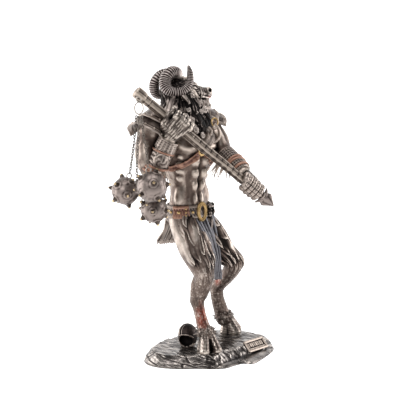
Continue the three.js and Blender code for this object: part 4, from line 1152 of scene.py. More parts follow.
def head():
    """A bull's head, made in its own directions and then put in place."""
    clay = Clay((-20, -24, -26), (40, 24, 18), 0.53)
    clay.limb(FACE, UP, 3)
    clay.limb(JAW, UP, 2.2)
    clay.lump((29.5, 0, -4.6), (5.4, 7.0, 5.4), blend=2)
    clay.lump((27.5, 0, -13.4), (4.4, 4.4, 3.2), blend=2)
    for s in (-1, 1):
        clay.muscle((5, s * 5.5, 7.5), (17, s * 8.2, 1.8), 3.0, 1.6, 1.0, UP)
        clay.muscle((16, s * 6.6, -3), (27, s * 5.4, -6.2), 2.2, 1.4, 1.0, UP)
        clay.lump((8.5, s * 7.6, -6.6), (6.2, 3.6, 5.2), blend=2.2)
        clay.lump((EYE_AT[0], s * (EYE_AT[1] + 1.4), EYE_AT[2]), (3.0, 2.4, 2.1), blend=0.8, carve=True)
        clay.lump((EYE_AT[0], s * EYE_AT[1], EYE_AT[2]), (2.2, 2.0, 1.6), blend=0.3)
        clay.muscle((10.6, s * 8.4, 0.2), (16.4, s * 7.6, -0.4), 0.8, 0.4, 1.0, UP)
        clay.lump((30.4, s * 4.4, -2.2), (3.7, 2.9, 3.5), blend=0.8)
        clay.bone((31.2, s * 8.0, -1.9), (30.6, s * 4.6, -2.3), 2.1, 1.7, UP, 0.4, carve=True)
        clay.bone((21.5, s * 7.2, -8.6), (31.5, s * 3.6, -9.4), 1.5, 1.3, UP, 0.9)
        clay.bone((19.5, s * 8.2, -10.2), (34, s * 2.6, -10.6), 0.7, 0.9, UP, 0.4, carve=True)
        clay.bone((20.5, s * 5.6, -11.8), (30.5, s * 2.6, -12), 1.5, 1.3, UP, 0.9)
    points, quads, outward, shade = clay.finished()
    forward, aside, up = points.T
    wrinkles = ridge(forward, 23, 6) * np.cos(forward * 2.4 + 1.6 * noise(points, 5, 3))
    curls = tufts(points, np.arctan2(aside, up + 4) * 4.2, -forward / 4.6, 40, 6)
    furred = clamp((27.5 - forward) / 3)
    eyes = np.minimum(*(lengths(points - (EYE_AT[0], s * EYE_AT[1], EYE_AT[2])) for s in (-1, 1)))
    furred = furred * clamp((eyes - 2.2) / 1.5)
    rise = furred * (0.5 * (curls - 0.4) + 0.35 * noise(points, 2.4, 9)) + 0.2 * wrinkles * furred
    points = raised(points, outward, rise + 0.06 * noise(points, 0.9, 5))
    lips = clamp(1.3 - np.abs(up + 10.0) / 2.2) * clamp((forward - 25) / 4)
    placed = in_head(points)
    # Painted shade: the head is darkened round each horn's root, in the pocket that the curled horn closes
    # over.
    far = lengths(np.stack([forward, np.abs(aside), up], axis=1) - HORN_ROOT)
    shaded = 0.6 * clamp(1.6 - far / 7.5)
    piece("head", placed, quads, MUZZLE, 0.9 * shade + 0.05 + shaded, tint=lips)


def ear(name, s):
    """A leaf-shaped ear that hangs outwards and down, hollow in front."""
    root, tip = np.array((-1.5, s * 9.5, -4.5)), np.array((3.0, s * 18.5, -15.0))
    along = unit(tip - root)
    opening = square_to((0.75, s * 0.6, -0.1), along)
    aside = np.cross(along, opening)

    def surface(u, w):
        across = (u - 0.5) * 2 * s
        wide = 4.6 * np.sin(math.pi * (0.12 + 0.88 * w) ** 0.8) ** 0.7 * (1 - 0.3 * w) + 0.3
        cup = 2.4 * (across ** 2 - 0.6) * np.sin(math.pi * clamp(w * 0.9 + 0.1))
        lip = 0.5 * ridge(np.abs(across), 0.9, 0.12)
        spot = root + np.outer(w, tip - root) + np.outer(across * wide, aside) + np.outer(cup + lip, opening)
        return in_head(spot)

    points, faces = plate(surface, 24, 30, 1.3)
    inside = clamp(1 - np.abs(np.tile(np.linspace(-1, 1, 25), 31)) ** 3 * 1.6)
    piece(name, points, faces, MUZZLE, np.concatenate([inside * 0.9, inside * 0.2]))


# Horns: forward, outward, up and half thickness
HORN = [
    (3, -3, 9, 5), (-1, 0, 11.5, 5.3), (-8, 2.5, 10, 5.3), (-13.5, 4, 4, 5.2), (-14.3, 5.5, -2, 5),
    (-12, 7.5, -6.5, 4.6), (-6.4, 9.5, -8.5, 3.8), (1, 11.5, -7.5, 3.6), (6, 13, -3, 3.4),
    (7.7, 13.8, 3, 3.2), (7.4, 14.4, 10, 2.6), (6.0, 14.8, 15.2, 1.2),
]


def horn(name, s):
    """A ridged ram's horn that curls once round."""
    RIDGES, SIDES = 42, 28
    rows = spline(HORN, RIDGES * 8 + 1)
    local = (rows[:, :3] + HORN_ROOT) * (1, s, 1)
    half = rows[:, 3]

    def crest(at):
        grown = clamp((at - 0.07) * 14)
        return grown * np.maximum(0, np.cos(math.tau * RIDGES * at + 0.6 * np.sin(40 * at))) ** 1.3

    def ridges(turns, at):
        rise = (1 - 0.5 * at) * 0.12 * crest(at) * (0.8 + 0.2 * np.cos(turns + 2.0))
        return 0.95 + rise + 0.008 * np.cos(11 * turns)

    points, faces = tube(in_head(local), np.stack([half * 1.12, half], axis=1), SIDES, HEAD_LEFT, False,
                         ridges, (0.3, 1.0))
    at = np.linspace(0, 1, len(rows))
    groove = 0.42 * clamp((at - 0.05) * 14) - 0.62 * crest(at) - 0.12
    piece(name, points, faces, HORN_BRONZE, ring_values(groove, SIDES), strength=1.0)


# Hair
def on_neck(turn, height, reach):
    """Points on the neck, by turn from his front."""
    share = (height - 224) / 32
    centre = np.array((-19.5 - 5.5 * share, 2 + 3 * share, height))
    way = front(60 + turn)
    return centre + way * (reach - 3.5 * share), way


def hair_mass():
    """The dark hair under the locks: round the neck, down the nape and from the jaw to the chest."""
    COLUMNS = 15
    clay = Clay((-64, -34, 206), (24, 54, 280), 0.76)
    clay.limb([(-20, 3, 222, 16, 15), (-22, 4, 238, 14.8, 14.2), (-25, 5, 256, 12.6, 12.2)], left(60), 4)
    clay.bone(in_head((21, 0, -14.5)), (0, 6, 227), (5.5, 7.0), (6.0, 7.5), HEAD_LEFT, 5)
    clay.bone(in_head((8, 0, -11)), (-7, -3, 224), (9.0, 9.5), (9.0, 8.0), HEAD_LEFT, 5)
    clay.bone(in_head((-9, 0, 2)), (-35, 16, 232), 8.5, 7.5, HEAD_LEFT, 5)
    points, quads, outward, shade = clay.finished()
    turn = np.arctan2(points[:, 1] - 4, points[:, 0] + 22) / math.tau * COLUMNS
    waves = tufts(points, turn, (270 - points[:, 2]) / 15, COLUMNS, 5)
    fine = np.cos(turn * math.tau * 4 + 3 * noise(points, 5, 8))
    points = raised(points, outward, 2.0 * (waves - 0.5) + 0.18 * fine)
    piece("hair_mass", points, quads, DARK_HAIR, 0.5 * shade + 0.35 * (0.5 - waves) + 0.1, strength=3.0)


def curl(centre, facing, radius, start):
    """The curled end of a lock, which winds in on itself."""
    facing = unit(facing)
    high = square_to(UP, facing)
    side = np.cross(high, facing)
    t = np.linspace(0, 1, 22)[:, None]
    turn = start + t * 3 * math.pi
    out = side * np.cos(turn) + high * np.sin(turn)
    path = np.asarray(centre) + out * radius * (1 - 0.7 * t) + facing * 1.6 * t
    return tube(path, radius * (0.42 - 0.24 * t[:, 0]), 8, facing, ends=(0.4, 0.8))


def mane():
    """Long locks down the nape and the sides of the neck."""
    chance = np.random.default_rng(21)
    parts = []
    for height, count, long in ((262, 8, 17), (255, 10, 20), (247, 12, 22), (239, 13, 22), (231, 14, 20)):
        for k in range(count):
            turn = 75 + 215 * (k + 0.6 * chance.random()) / count
            root, way = on_neck(turn, height + 2 * chance.random(), 13.5)
            along = way * (0.3 + 0.3 * chance.random()) + DOWN + chance.normal(size=3) * 0.12
            parts.append(lock(root, along, long * (0.7 + 0.6 * chance.random()), 3.2, 0.2, 2.4,
                              int(chance.integers(1e6))))
    piece("mane", *joined(parts), DARK_HAIR, strength=4.0)


def beard():
    """Locks under the jaw and over the chest, with curled ends."""
    chance = np.random.default_rng(33)
    parts, curls = [], []
    for forward, drop, long in ((28, -14, 9), (23, -15, 13), (17, -14.5, 16), (11, -14, 18), (5, -12, 18)):
        for aside in (-7.0, -3.5, 0, 3.5, 7.0):
            spread = aside * (1 - forward / 60)
            root = in_head((forward + chance.normal(), spread, drop + abs(aside) * 0.5))
            along = DOWN + HEAD_LEFT * aside * 0.08 - HEAD_FRONT * 0.1 + chance.normal(size=3) * 0.15
            length = long * (0.7 + 0.5 * chance.random())
            parts.append(lock(root, along, length, 2.7, 0.1, 2.4, int(chance.integers(1e6))))
            if abs(aside) > 3:
                side = HEAD_LEFT * np.sign(aside)
                curls.append(curl(root + unit(along) * length * 0.8 + side * 2.2, side + HEAD_FRONT * 0.3,
                                  2.2 + 1.2 * chance.random(), 6 * chance.random()))
    for height, count, long in ((244, 7, 14), (236, 8, 15), (228, 8, 14)):
        for k in range(count):
            turn = -72 + 150 * (k + 0.6 * chance.random()) / count
            root, way = on_neck(turn, height + 2 * chance.random(), 15 + (236 - height) * 0.3)
            along = way * 0.35 + DOWN + chance.normal(size=3) * 0.16
            length = long * (0.7 + 0.5 * chance.random())
            parts.append(lock(root, along, length, 3.0, 0.05, 2.4, int(chance.integers(1e6))))
            curls.append(curl(root + unit(along) * length + way * 1.5, way + UP * 0.1,
                              2.4 + 1.3 * chance.random(), 6 * chance.random()))
    for forward, drop in ((-4, -12), (2, -14), (8, -15), (14, -15.5), (20, -15.5), (26, -15)):
        for s in (-1, 1):
            spot = in_head((forward, s * (8.5 - 0.12 * forward), drop))
            curls.append(curl(spot, HEAD_LEFT * s + HEAD_FRONT * 0.2, 2.9, 4 + forward))
    piece("beard", *joined(parts), DARK_HAIR)
    piece("beard_curls", *joined(curls), CURL_HAIR)


def forelock():
    """Short locks on the brow and on his right cheek."""
    chance = np.random.default_rng(44)
    parts = []
    for _ in range(26):
        forward, aside = -6 + 17 * chance.random(), -8 + 16 * chance.random()
        root = in_head((forward, aside, 9.5 - 0.1 * forward - 0.03 * aside ** 2))
        rise, sway = 0.35 + 0.3 * chance.random(), chance.normal()
        along = HEAD_FRONT * 0.9 + HEAD_UP * rise + HEAD_LEFT * 0.4 * sway
        parts.append(lock(root, along, 7 + 4 * chance.random(), 2.0, 0.3, 1.0, int(chance.integers(1e6))))
    for _ in range(14):
        root = in_head((4 + 9 * chance.random(), -8.5 - chance.random(), -6 + 7 * chance.random()))
        along = HEAD_FRONT * 0.7 + DOWN * 0.6 - HEAD_LEFT * 0.2 + chance.normal(size=3) * 0.2
        parts.append(lock(root, along, 6 + 3 * chance.random(), 1.6, 0.3, 0.8, int(chance.integers(1e6))))
    piece("forelock", *joined(parts), FUR_BRONZE)


# Belt, cloth and harness
BELT_FOOT = 140
BELT_TOP = 151.5


def belt_band(name, first, last, material, proud, steps):
    """A stretch of the belt between two turns, with raised edges."""
    section = [(0.0, -0.6), (0.03, 0.1), (0.1, 0.25), (0.16, -0.25), (0.5, -0.15), (0.84, -0.25), (0.9, 0.25),
               (0.97, 0.1), (1.0, -0.6)]

    def surface(u, w):
        turn = first + (last - first) * u
        lift = proud + np.interp(w, *zip(*section)) + 0.12 * np.sin(turn * 0.9) * np.sin(w * 9)
        return on_torso(turn, BELT_TOP - (BELT_TOP - BELT_FOOT) * w, lift)

    piece(name, *plate(surface, steps, 21, 1.6), material)


def oval(points, faces, centre, sizes, axes):
    """A skin stretched along three directions and moved into place."""
    return np.asarray(centre) + (points * sizes) @ np.asarray(axes), faces


def ball(rings=10, sides=16):
    """A ball of radius 1 as a skin."""
    lat = np.pi * (np.arange(1, rings) / rings - 0.5)
    path = np.outer(np.sin(lat), UP)
    return tube(path, np.cos(lat), sides, RIGHTWARD, True,
                ends=((1 - abs(math.sin(lat[0]))) / math.cos(lat[0]),) * 2)


def bead(spot, sizes, *detail):
    return oval(*ball(*detail), spot, sizes, np.eye(3))


def stud(turn, height, lift, size):
    """A round stud that stands on the torso."""
    outward = out_of_torso(turn, height)
    aside = square_to(left(HIP_HEADING), outward)
    axes = (aside, np.cross(outward, aside), outward)
    return oval(*ball(), on_torso(turn, height, lift), size, axes)


def belt():
    """The belt, its studs, and an oval buckle with beads round it."""
    belt_band("belt_dark", -38, 290, DARK_LEATHER, 2.0, 260)
    belt_band("belt_red", -76, -34, LEATHER, 2.5, 60)
    middle = (BELT_FOOT + BELT_TOP) / 2
    studs = [stud(-60, middle, 2.6, (1.7, 1.7, 1.5)), stud(-25, middle, 2.6, (1.5, 1.5, 1.4))]
    studs += [stud(-42, middle + rise, 2.6, (1.1, 1.1, 1.1)) for rise in (-3.2, 0, 3.2)]
    studs += [stud(turn, middle, 2.2, (1.5, 1.5, 1.3)) for turn in range(60, 280, 24)]
    outward = out_of_torso(-2, middle)
    centre = on_torso(-2, middle, 3.2)
    tall = square_to(UP, outward)
    buckle = [hoop(centre, outward, 4.7, 1.25, 1.8, tall, (12, 56), 1.5),
              hoop(centre + outward * 0.8, outward, 3.4, 0.5, 1.95, tall, (8, 56))]
    wide = np.cross(tall, outward)
    for turn in full_turn(26):
        spot = centre + wide * math.cos(turn) * 4.7 + tall * math.sin(turn) * 8.5 + outward * 1.7
        buckle.append(bead(spot, 0.75, 6, 8))
    piece("belt_metal", *joined(studs + buckle), GOLD)


def ornament():
    """A knotted mask with curls that hangs beside the buckle, over a tassel."""
    outward = out_of_torso(26, 145)
    centre = on_torso(26, 145, 3.0)
    clay = Clay(centre - 14, centre + 14, 0.5)
    aside = square_to(left(60), outward)
    tall = np.cross(outward, aside)
    axes = (aside, tall, outward)

    def spot(sideways, up, out=0.0):
        return centre + aside * sideways + tall * up + outward * out

    clay.lump(spot(0, 1.5), (5.2, 7.0, 4.0), axes, 1)
    clay.lump(spot(0, -8), (3.4, 4.6, 3.4), axes, 2)
    for s in (-1, 1):
        clay.lump(spot(s * 2.2, 3, 3.6), (1.3, 1.0, 1.2), axes, 0.5, True)
        clay.lump(spot(s * 4.4, 5.5, 1.5), (2.0, 2.4, 2.2), axes, 0.8)
        clay.lump(spot(s * 3.8, -2.5, 2), (1.8, 2.6, 2.0), axes, 0.8)
        clay.bone(spot(s * 0.6, 4.6, 4), spot(s * 4, 4.8, 3.4), 0.9, 0.7, outward, 0.5)
    clay.bone(spot(0, 4, 4), spot(0, -0.5, 4.6), 0.9, 1.4, aside, 0.8)
    clay.lump(spot(0, -2.4, 4), (1.8, 0.7, 1.2), axes, 0.4, True)
    points, quads = clay.skin()
    points = raised(points, clay.slope(points), 0.25 * noise(points, 1.6, 8))
    piece("ornament", points, quads, DARK_HAIR, 0.75 * clay.shade(points, clay.slope(points)))
    chance = np.random.default_rng(15)
    parts = []
    for k in range(16):
        root = spot(-2.4 + 4.8 * chance.random(), -8, 0.5 + 2.6 * chance.random())
        parts.append(lock(root, DOWN + aside * 0.12 * chance.normal(), 10 + 6 * chance.random(), 1.0, 0,
                          0.9, k, 7, 9, 2))
    piece("tassel", *joined(parts), STEEL)


# How many rows the edge of a cloth or the route of a strap is made into
EDGE_ROWS = 60


def panel(name, left_edge, right_edge, out, folds, depth, seed, material):
    """A hanging cloth between two edges, with folds that deepen as they run down it."""
    marks = np.arange(EDGE_ROWS)
    edges = [spline(edge, EDGE_ROWS) for edge in (left_edge, right_edge)]

    def surface(u, w):
        start, end = (rows_at(w * marks[-1], marks, edge) for edge in edges)
        lean = u + 0.05 * np.sin(w * 5 + seed)
        fold = np.cos(math.tau * folds * lean) + 0.45 * np.cos(math.tau * folds * 2.3 * lean + seed)
        crease = 0.25 * noise(np.stack([u * 30, w * 9, 0 * u], axis=1), 1.5, seed)
        rise = depth * (0.35 + 0.65 * w) * fold + crease
        hem = 0.6 * ridge(w, 0.93, 0.02)
        ragged = DOWN * ((w > 0.9) * (w - 0.9) * 26 * np.abs(np.sin(u * 38)))[:, None]
        return start + (end - start) * u[:, None] + out * (rise + hem)[:, None] + ragged

    piece(name, *plate(surface, 76, 78, 1.3), material)


def loincloth():
    """The cloths in front and behind, each between its two edges."""
    front_left = [(-15, -20, 143), (-7, -21, 128), (3, -16, 112), (9, -9, 95), (10, -6, 80)]
    front_right = [(8, 2, 143), (11.5, -1, 126), (13.5, -3, 108), (14.5, -4, 92), (15.5, -3, 80)]
    back_left = [(-37, 3, 143), (-40, 9, 125), (-47, 15, 111)]
    back_right = [(-14, 25, 143), (-20, 30, 125), (-28, 34, 109)]
    panel("loincloth_front", front_left, front_right, front(50), 3.2, 1.3, 2, CLOTH)
    panel("loincloth_back", back_left, back_right, front(225), 2.6, 1.3, 5, ARMOUR)


def strap(route, half, lift=1.4):
    """A strap that lies on the torso, with raised edges and a row of stitches."""
    MM_PER_DEGREE = 0.42
    marks = np.arange(EDGE_ROWS)
    route = spline(route, EDGE_ROWS)
    way = np.gradient(route, axis=0)

    def surface(u, w):
        at = w * marks[-1]
        turn, height = rows_at(at, marks, route).T
        run = unit_rows(rows_at(at, marks, way) * (MM_PER_DEGREE, 1))
        across = (u - 0.5) * 2 * half
        edge = 0.35 * ridge(np.abs(u - 0.5), 0.4, 0.06)
        stitch = 0.12 * ridge(np.abs(u - 0.5), 0.26, 0.05) * np.cos(w * 260)
        return on_torso(turn - across * run[:, 1] / MM_PER_DEGREE, height + across * run[:, 0],
                        lift + edge + stitch)

    return plate(surface, 16, 160, 1.3)


def harness():
    """Straps over the chest and back that meet at gold rings."""
    red = [strap([(-7, 202), (-30, 194), (-55, 190), (-85, 188), (-120, 196), (-150, 210), (-175, 226)], 2.4),
           strap([(7, 202), (30, 194), (55, 191), (85, 189), (120, 197), (150, 211), (172, 226)], 3.0)]
    piece("harness_low", *joined(red), LEATHER)
    dark = [strap([(-5, 207), (-22, 216), (-42, 224)], 3.0), strap([(6, 207), (20, 216), (36, 225)], 2.6)]
    piece("harness_high", *joined(dark), DARK_LEATHER)
    centre, outward = on_torso(0, 204, 3.4), out_of_torso(0, 204)
    shoulder = np.array((9.2, -1.5, 230.5))
    facing = unit((0.25, -1, 0.1))
    rings = [hoop(centre, outward, 4.3, 0.95, 1, UP, (10, 40)),
             hoop(shoulder, facing, 3.1, 0.75, 1.25, UP, (10, 40)),
             hoop(centre, outward, 3.3, 0.35, 1, UP, (6, 40))]
    spots = ((-14, 211), (-21, 215.5), (-28, 218.5), (-36, 222))
    rings += [stud(turn, height, 2.0, (1.0, 1.0, 0.9)) for turn, height in spots]
    piece("harness_rings", *joined(rings), GOLD)
    tie = shoulder - UP * 5
    strip = spline([tie + (0, 0, 3), tie + (4, 0.5, -2), tie + (4.5, 1, -9), tie + (0, 0, -14),
                    tie + (-4, -1, -10), tie + (-3, -0.5, -3), tie + (-6, -1, 0)], 60)
    knot = [tube(strip, np.full((60, 2), (2.3, 1.3)), 12, facing), bead(tie, (2.6, 2.4, 2.6))]
    piece("harness_knot", *joined(knot), BRONZE)


# Shoulder armour: arched lames with raised rims
def pauldron(name, shoulder, s, slant, radius, lames, arch):
    """Lames (start, length, flare) that arch over a shoulder, with a row of rivets on each."""
    slope = math.radians(slant)
    outward = left(CHEST_HEADING) * s
    axis = outward * math.cos(slope) - UP * math.sin(slope)
    crest = outward * math.sin(slope) + UP * math.cos(slope)
    chest = front(CHEST_HEADING)
    parts = []
    for start, length, flare in lames:

        def surface(u, w):
            turn = np.radians(arch[0] + (arch[1] - arch[0]) * u)
            rim = 0.9 * ridge(w, 0.95, 0.05) + 0.4 * ridge(np.abs(u - 0.5), 0.47, 0.02)
            lines = 0.3 * ridge(w, 0.78, 0.03)
            spot = np.stack([u * 40, w * 12, 0 * u], axis=1)
            reach = radius + flare * w ** 2 - 2.4 * (1 - w) ** 2 + rim + lines + 0.1 * noise(spot, 5, 4)
            slide = start + length * w + 1.6 * w * np.abs(np.sin(2.5 * turn))
            return (np.asarray(shoulder) + np.outer(slide, axis) + crest * (np.cos(turn) * reach)[:, None]
                    + chest * (np.sin(turn) * reach)[:, None])

        facing = surface if s < 0 else lambda u, w: surface(1 - u, w)
        parts.append(plate(facing, 68, 22, 1.7))
    piece(name, *joined(parts), ARMOUR)
    rivets = []
    for start, length, flare in lames:
        for turn in np.radians(np.linspace(arch[0] + 8, arch[1] - 8, 7)):
            reach = radius + flare * 0.72 + 1.1
            way = crest * math.cos(turn) + chest * math.sin(turn)
            spot = np.asarray(shoulder) + axis * (start + length * 0.85) + way * reach
            rivets.append(bead(spot, 0.95, 6, 10))
    piece(name + "_rivets", *joined(rivets), BRONZE)


def armour():
    pauldron("pauldron_right", SHOULDER_R, -1, 46, 16, ((-13, 11, 1.5), (-5, 15, 4)), (-85, 88))
    pauldron("pauldron_left", SHOULDER_L, 1, 34, 13.6, ((-12, 9, 1), (-5.2, 13, 3)), (-82, 80))


# Flail shaft
def on_shaft(share):
    return at_share(SHAFT_TOP, SHAFT_LOW, share)


def flail_shaft():
    """The squared shaft, its spear point with two barbs and a collar, and the eye that holds the ring."""
    SIDES, TURNS_OF_CORD = 40, 23
    shares = np.linspace(0, 1, 240)
    knots = [(0, 4.6), (0.045, 4.5), (0.075, 3.8), (0.3, 3.65), (0.45, 4.0), (0.9, 3.3), (1, 3.0)]
    radius = np.interp(shares, *zip(*knots))
    path = np.array([on_shaft(share) for share in shares])

    def section(turns, at):
        squarish = 0.98 / (np.abs(np.cos(turns - math.pi / 4)) ** 5
                           + np.abs(np.sin(turns - math.pi / 4)) ** 5) ** 0.2
        grain = 0.018 * np.cos(9 * turns + 3 * np.sin(at * 9)) + 0.012 * np.cos(23 * turns + 11 * at)
        seam = -0.1 * ridge(at, 0.105, 0.004) - 0.07 * ridge(at, 0.07, 0.004)
        cord = max(0, math.cos(at * math.tau * TURNS_OF_CORD)) ** 10
        notch = clamp(np.cos(turns - 0.8)) ** 8 * cord
        low = 0.14 * notch if 0.42 < at < 0.8 else 0.0
        return squarish + grain + seam - low

    bar = tube(path, np.stack([radius, radius * 0.96], axis=1), SIDES, OVER, True, section, (0.35, 0.3))
    worn = clamp((shares - 0.42) * 12) * clamp((0.86 - shares) * 12)
    dark = worn * (0.15 + 0.14 * np.cos(shares * math.tau * TURNS_OF_CORD)) + 0.05
    piece("shaft_bar", *bar, SHAFT_WOOD, ring_values(dark, SIDES), node="flail_shaft")
    low = np.array(SHAFT_LOW)
    blade_rows = spline([(-1, 4.4, 2.4), (2, 5.4, 2.4), (4.5, 6.2, 2.2), (9, 3.6, 1.4), (14.0, 0.5, 0.35)],
                        50)
    blade_path = low + np.outer(blade_rows[:, 0], SHAFT)

    def four_sided(turns, _):
        return 1 / (np.abs(np.cos(turns)) + np.abs(np.sin(turns))) * 1.15

    blade = tube(blade_path, blade_rows[:, 1:], 24, OVER, True, four_sided, (0.2, 0.8))
    barbs = []
    for s in (-1, 1):
        way = unit(OVER * s - SHAFT * 0.45)
        root = low + SHAFT * 1.2 + OVER * s * 2
        t = np.linspace(0, 1, 12)[:, None]
        path = root + way * 8.2 * t - SHAFT * 1.0 * t ** 2
        halves = np.hstack([2.6 * (1 - t) ** 0.8 + 0.15, 1.7 * (1 - t) ** 0.8 + 0.12])
        barbs.append(tube(path, halves, 14, SHAFT, False))
    collar = [hoop(low - SHAFT * 1.4, SHAFT, 3.9, 0.9, 1, OVER, (8, 32))]
    piece("spear_point", *joined([blade, *barbs, *collar]), STEEL, node="flail_shaft")
    eye = hoop(EYE, NEAR, 2.1, 0.75, 1, UP, (10, 28))
    piece("shaft_eye", *eye, CHAIN, node="flail_shaft")


# Ring, chains and balls
EYE = np.array(SHAFT_TOP) + SHAFT * 5.5 - OVER * 3.2 + NEAR * 4
RING_RADIUS = 3.9
RING_STRETCH = 1.4
RING_CENTRE = EYE + DOWN * (RING_RADIUS * RING_STRETCH + 2.75) + NEAR * 0.4
RING_FOOT = RING_CENTRE + DOWN * (RING_RADIUS * RING_STRETCH + 1.4)
# For each ball: centre, radius, the way to its chain, and how far its spikes are turned
BALLS = {
    "left": ((-73.8, -40, 169), 13.0, (0.25, 0, 1), (12, 45)),
    "upper": ((-48.1, -63, 175.6), 14.0, (-0.2, 0.1, 1), (48, 75)),
    "lower": ((-47.5, -42, 152), 12.6, (-0.6, -0.4, 0.7), (0, 30)),
}
# For each chain: its start from the ring's foot (to the right, nearer, lower), and where it bends
ROUTES = {
    "left": ((-2.4, 0.6, 0), [(-65, -50, 213)]),
    "upper": ((2.4, 0.6, 0), [(-56, -58, 226), (-53, -61, 207)]),
    "lower": ((0, 3, 0.4), [(-60, -60.5, 222), (-62, -57, 190), (-61.2, -51.2, 172)]),
}


def named_sockets(group, rows):
    """Adds inputs to a group, and gives their identifiers by name."""
    found = {}
    for name, kind, value in rows:
        found[name] = add_socket(group, "INPUT", name, kind, value).identifier
    return found


def cast_points(name, spots, along, tree, sockets, values, node):
    """Points that carry a direction, given repeated parts by a node tree and turned into a plain mesh."""
    mesh = bpy.data.meshes.new(name + "_points")
    mesh.from_pydata((np.asarray(spots) * MM).tolist(), [], [])
    layer = mesh.attributes.new("along", "FLOAT_VECTOR", "POINT")
    layer.data.foreach_set("vector", np.asarray(along, np.float32).ravel())
    source = in_scene(name + "_points", mesh)
    modifier = source.modifiers.new("cast", "NODES")
    modifier.node_group = tree
    for key, value in values.items():
        modifier[sockets[key]] = value
    bpy.context.view_layer.update()
    evaluated = source.evaluated_get(bpy.context.evaluated_depsgraph_get())
    made = bpy.data.meshes.new_from_object(evaluated)
    bpy.data.objects.remove(source)
    PIECES.setdefault(node, []).append(in_scene(name, made))


def placed_on_points(group, entry, shape, turn, material):
    """The end both trees share: a shape on every point, turned along its direction, as one mesh."""
    along = linked(group, "GeometryNodeInputNamedAttribute", {"Name": "along"}, data_type="FLOAT_VECTOR")
    aimed = linked(group, "FunctionNodeAlignRotationToVector",
                   {"Vector": along.outputs["Attribute"]}, axis="Z")
    spun = linked(group, "FunctionNodeRotateRotation", {0: aimed.outputs[0], 1: turn}, rotation_space="LOCAL")
    spread = linked(group, "GeometryNodeInstanceOnPoints", {"Points": entry["Geometry"], "Instance": shape,
                                                            "Rotation": spun.outputs[0]})
    real = linked(group, "GeometryNodeRealizeInstances", {"Geometry": spread.outputs[0]})
    smooth = linked(group, "GeometryNodeSetShadeSmooth", {0: real.outputs[0], 2: entry["Smooth"]})
    dressed = linked(group, "GeometryNodeSetMaterial", {"Geometry": smooth.outputs[0], "Material": material})
    add_socket(group, "OUTPUT", "Geometry", "NodeSocketGeometry")
    leave = group.nodes.new("NodeGroupOutput")
    group.links.new(dressed.outputs[0], leave.inputs[0])


def shaded(group, shape, shade):
    """Stores how hollow a shape is, for its finish."""
    inputs = {"Geometry": shape, "Name": "hollow", "Value": shade}
    node = linked(group, "GeometryNodeStoreNamedAttribute", inputs, data_type="FLOAT", domain="POINT")
    return node.outputs[0]


def link_tree():
    """Stadium-shaped wire links, each a quarter turn from the one before."""
    group = bpy.data.node_groups.new("chain links", "GeometryNodeTree")
    sockets = named_sockets(group, (
        ("Geometry", "NodeSocketGeometry", None), ("Radius", "NodeSocketFloat", 0.001),
        ("Stretch", "NodeSocketFloat", 1.5), ("Wire", "NodeSocketFloat", 0.0003),
        ("Sway", "NodeSocketFloat", 0.3),
        ("Seed", "NodeSocketInt", 7), ("Smooth", "NodeSocketBool", True)))
    entry = group.nodes.new("NodeGroupInput").outputs
    circle = linked(group, "GeometryNodeCurvePrimitiveCircle", {"Resolution": 14, "Radius": entry["Radius"]})
    size = linked(group, "ShaderNodeCombineXYZ", {"X": 1.0, "Y": entry["Stretch"], "Z": 1.0})
    upright = linked(group, "GeometryNodeTransform",
                     {"Geometry": circle.outputs[0], "Scale": size.outputs[0]})
    stood = linked(group, "GeometryNodeTransform", {"Geometry": upright.outputs[0],
                                                    "Rotation": (math.pi / 2, 0, 0)})
    wire = linked(group, "GeometryNodeCurvePrimitiveCircle", {"Resolution": 7, "Radius": entry["Wire"]})
    link = linked(group, "GeometryNodeCurveToMesh",
                  {"Curve": stood.outputs[0], "Profile Curve": wire.outputs[0]})
    index = linked(group, "GeometryNodeInputIndex")
    quarter = worked_out(group, "MULTIPLY", index.outputs[0], math.pi / 2)
    sway = linked(group, "FunctionNodeRandomValue", {2: -1.0, 3: 1.0, "Seed": entry["Seed"]},
                  data_type="FLOAT")
    swung = worked_out(group, "MULTIPLY", sway.outputs[1], entry["Sway"])
    turn = linked(group, "ShaderNodeCombineXYZ", {"Z": worked_out(group, "ADD", quarter, swung)})
    spin = linked(group, "FunctionNodeEulerToRotation", {0: turn.outputs[0]})
    placed_on_points(group, entry, shaded(group, link.outputs[0], 0.34), spin.outputs[0], CHAIN)
    return group, sockets


def spike_tree():
    """Blunt four-sided spikes."""
    group = bpy.data.node_groups.new("spikes", "GeometryNodeTree")
    sockets = named_sockets(group, (
        ("Geometry", "NodeSocketGeometry", None), ("Foot", "NodeSocketFloat", 0.0028),
        ("Tip", "NodeSocketFloat", 0.0005), ("Length", "NodeSocketFloat", 0.0056),
        ("Smooth", "NodeSocketBool", False),
        ("Seed", "NodeSocketInt", 3)))
    entry = group.nodes.new("NodeGroupInput").outputs
    cone = linked(group, "GeometryNodeMeshCone",
                  {"Vertices": 4, "Side Segments": 3, "Radius Top": entry["Tip"],
                   "Radius Bottom": entry["Foot"], "Depth": entry["Length"]})
    twist = linked(group, "FunctionNodeRandomValue", {2: 0.0, 3: 1.5, "Seed": entry["Seed"]},
                   data_type="FLOAT")
    turn = linked(group, "ShaderNodeCombineXYZ", {"Z": twist.outputs[1]})
    spin = linked(group, "FunctionNodeEulerToRotation", {0: turn.outputs[0]})
    depth = worked_out(group, "ADD", worked_out(group, "MULTIPLY", cone.outputs["Top"], -0.4), 0.5)
    placed_on_points(group, entry, shaded(group, cone.outputs["Mesh"], depth), spin.outputs[0], SPIKE_GOLD)
    return group, sockets


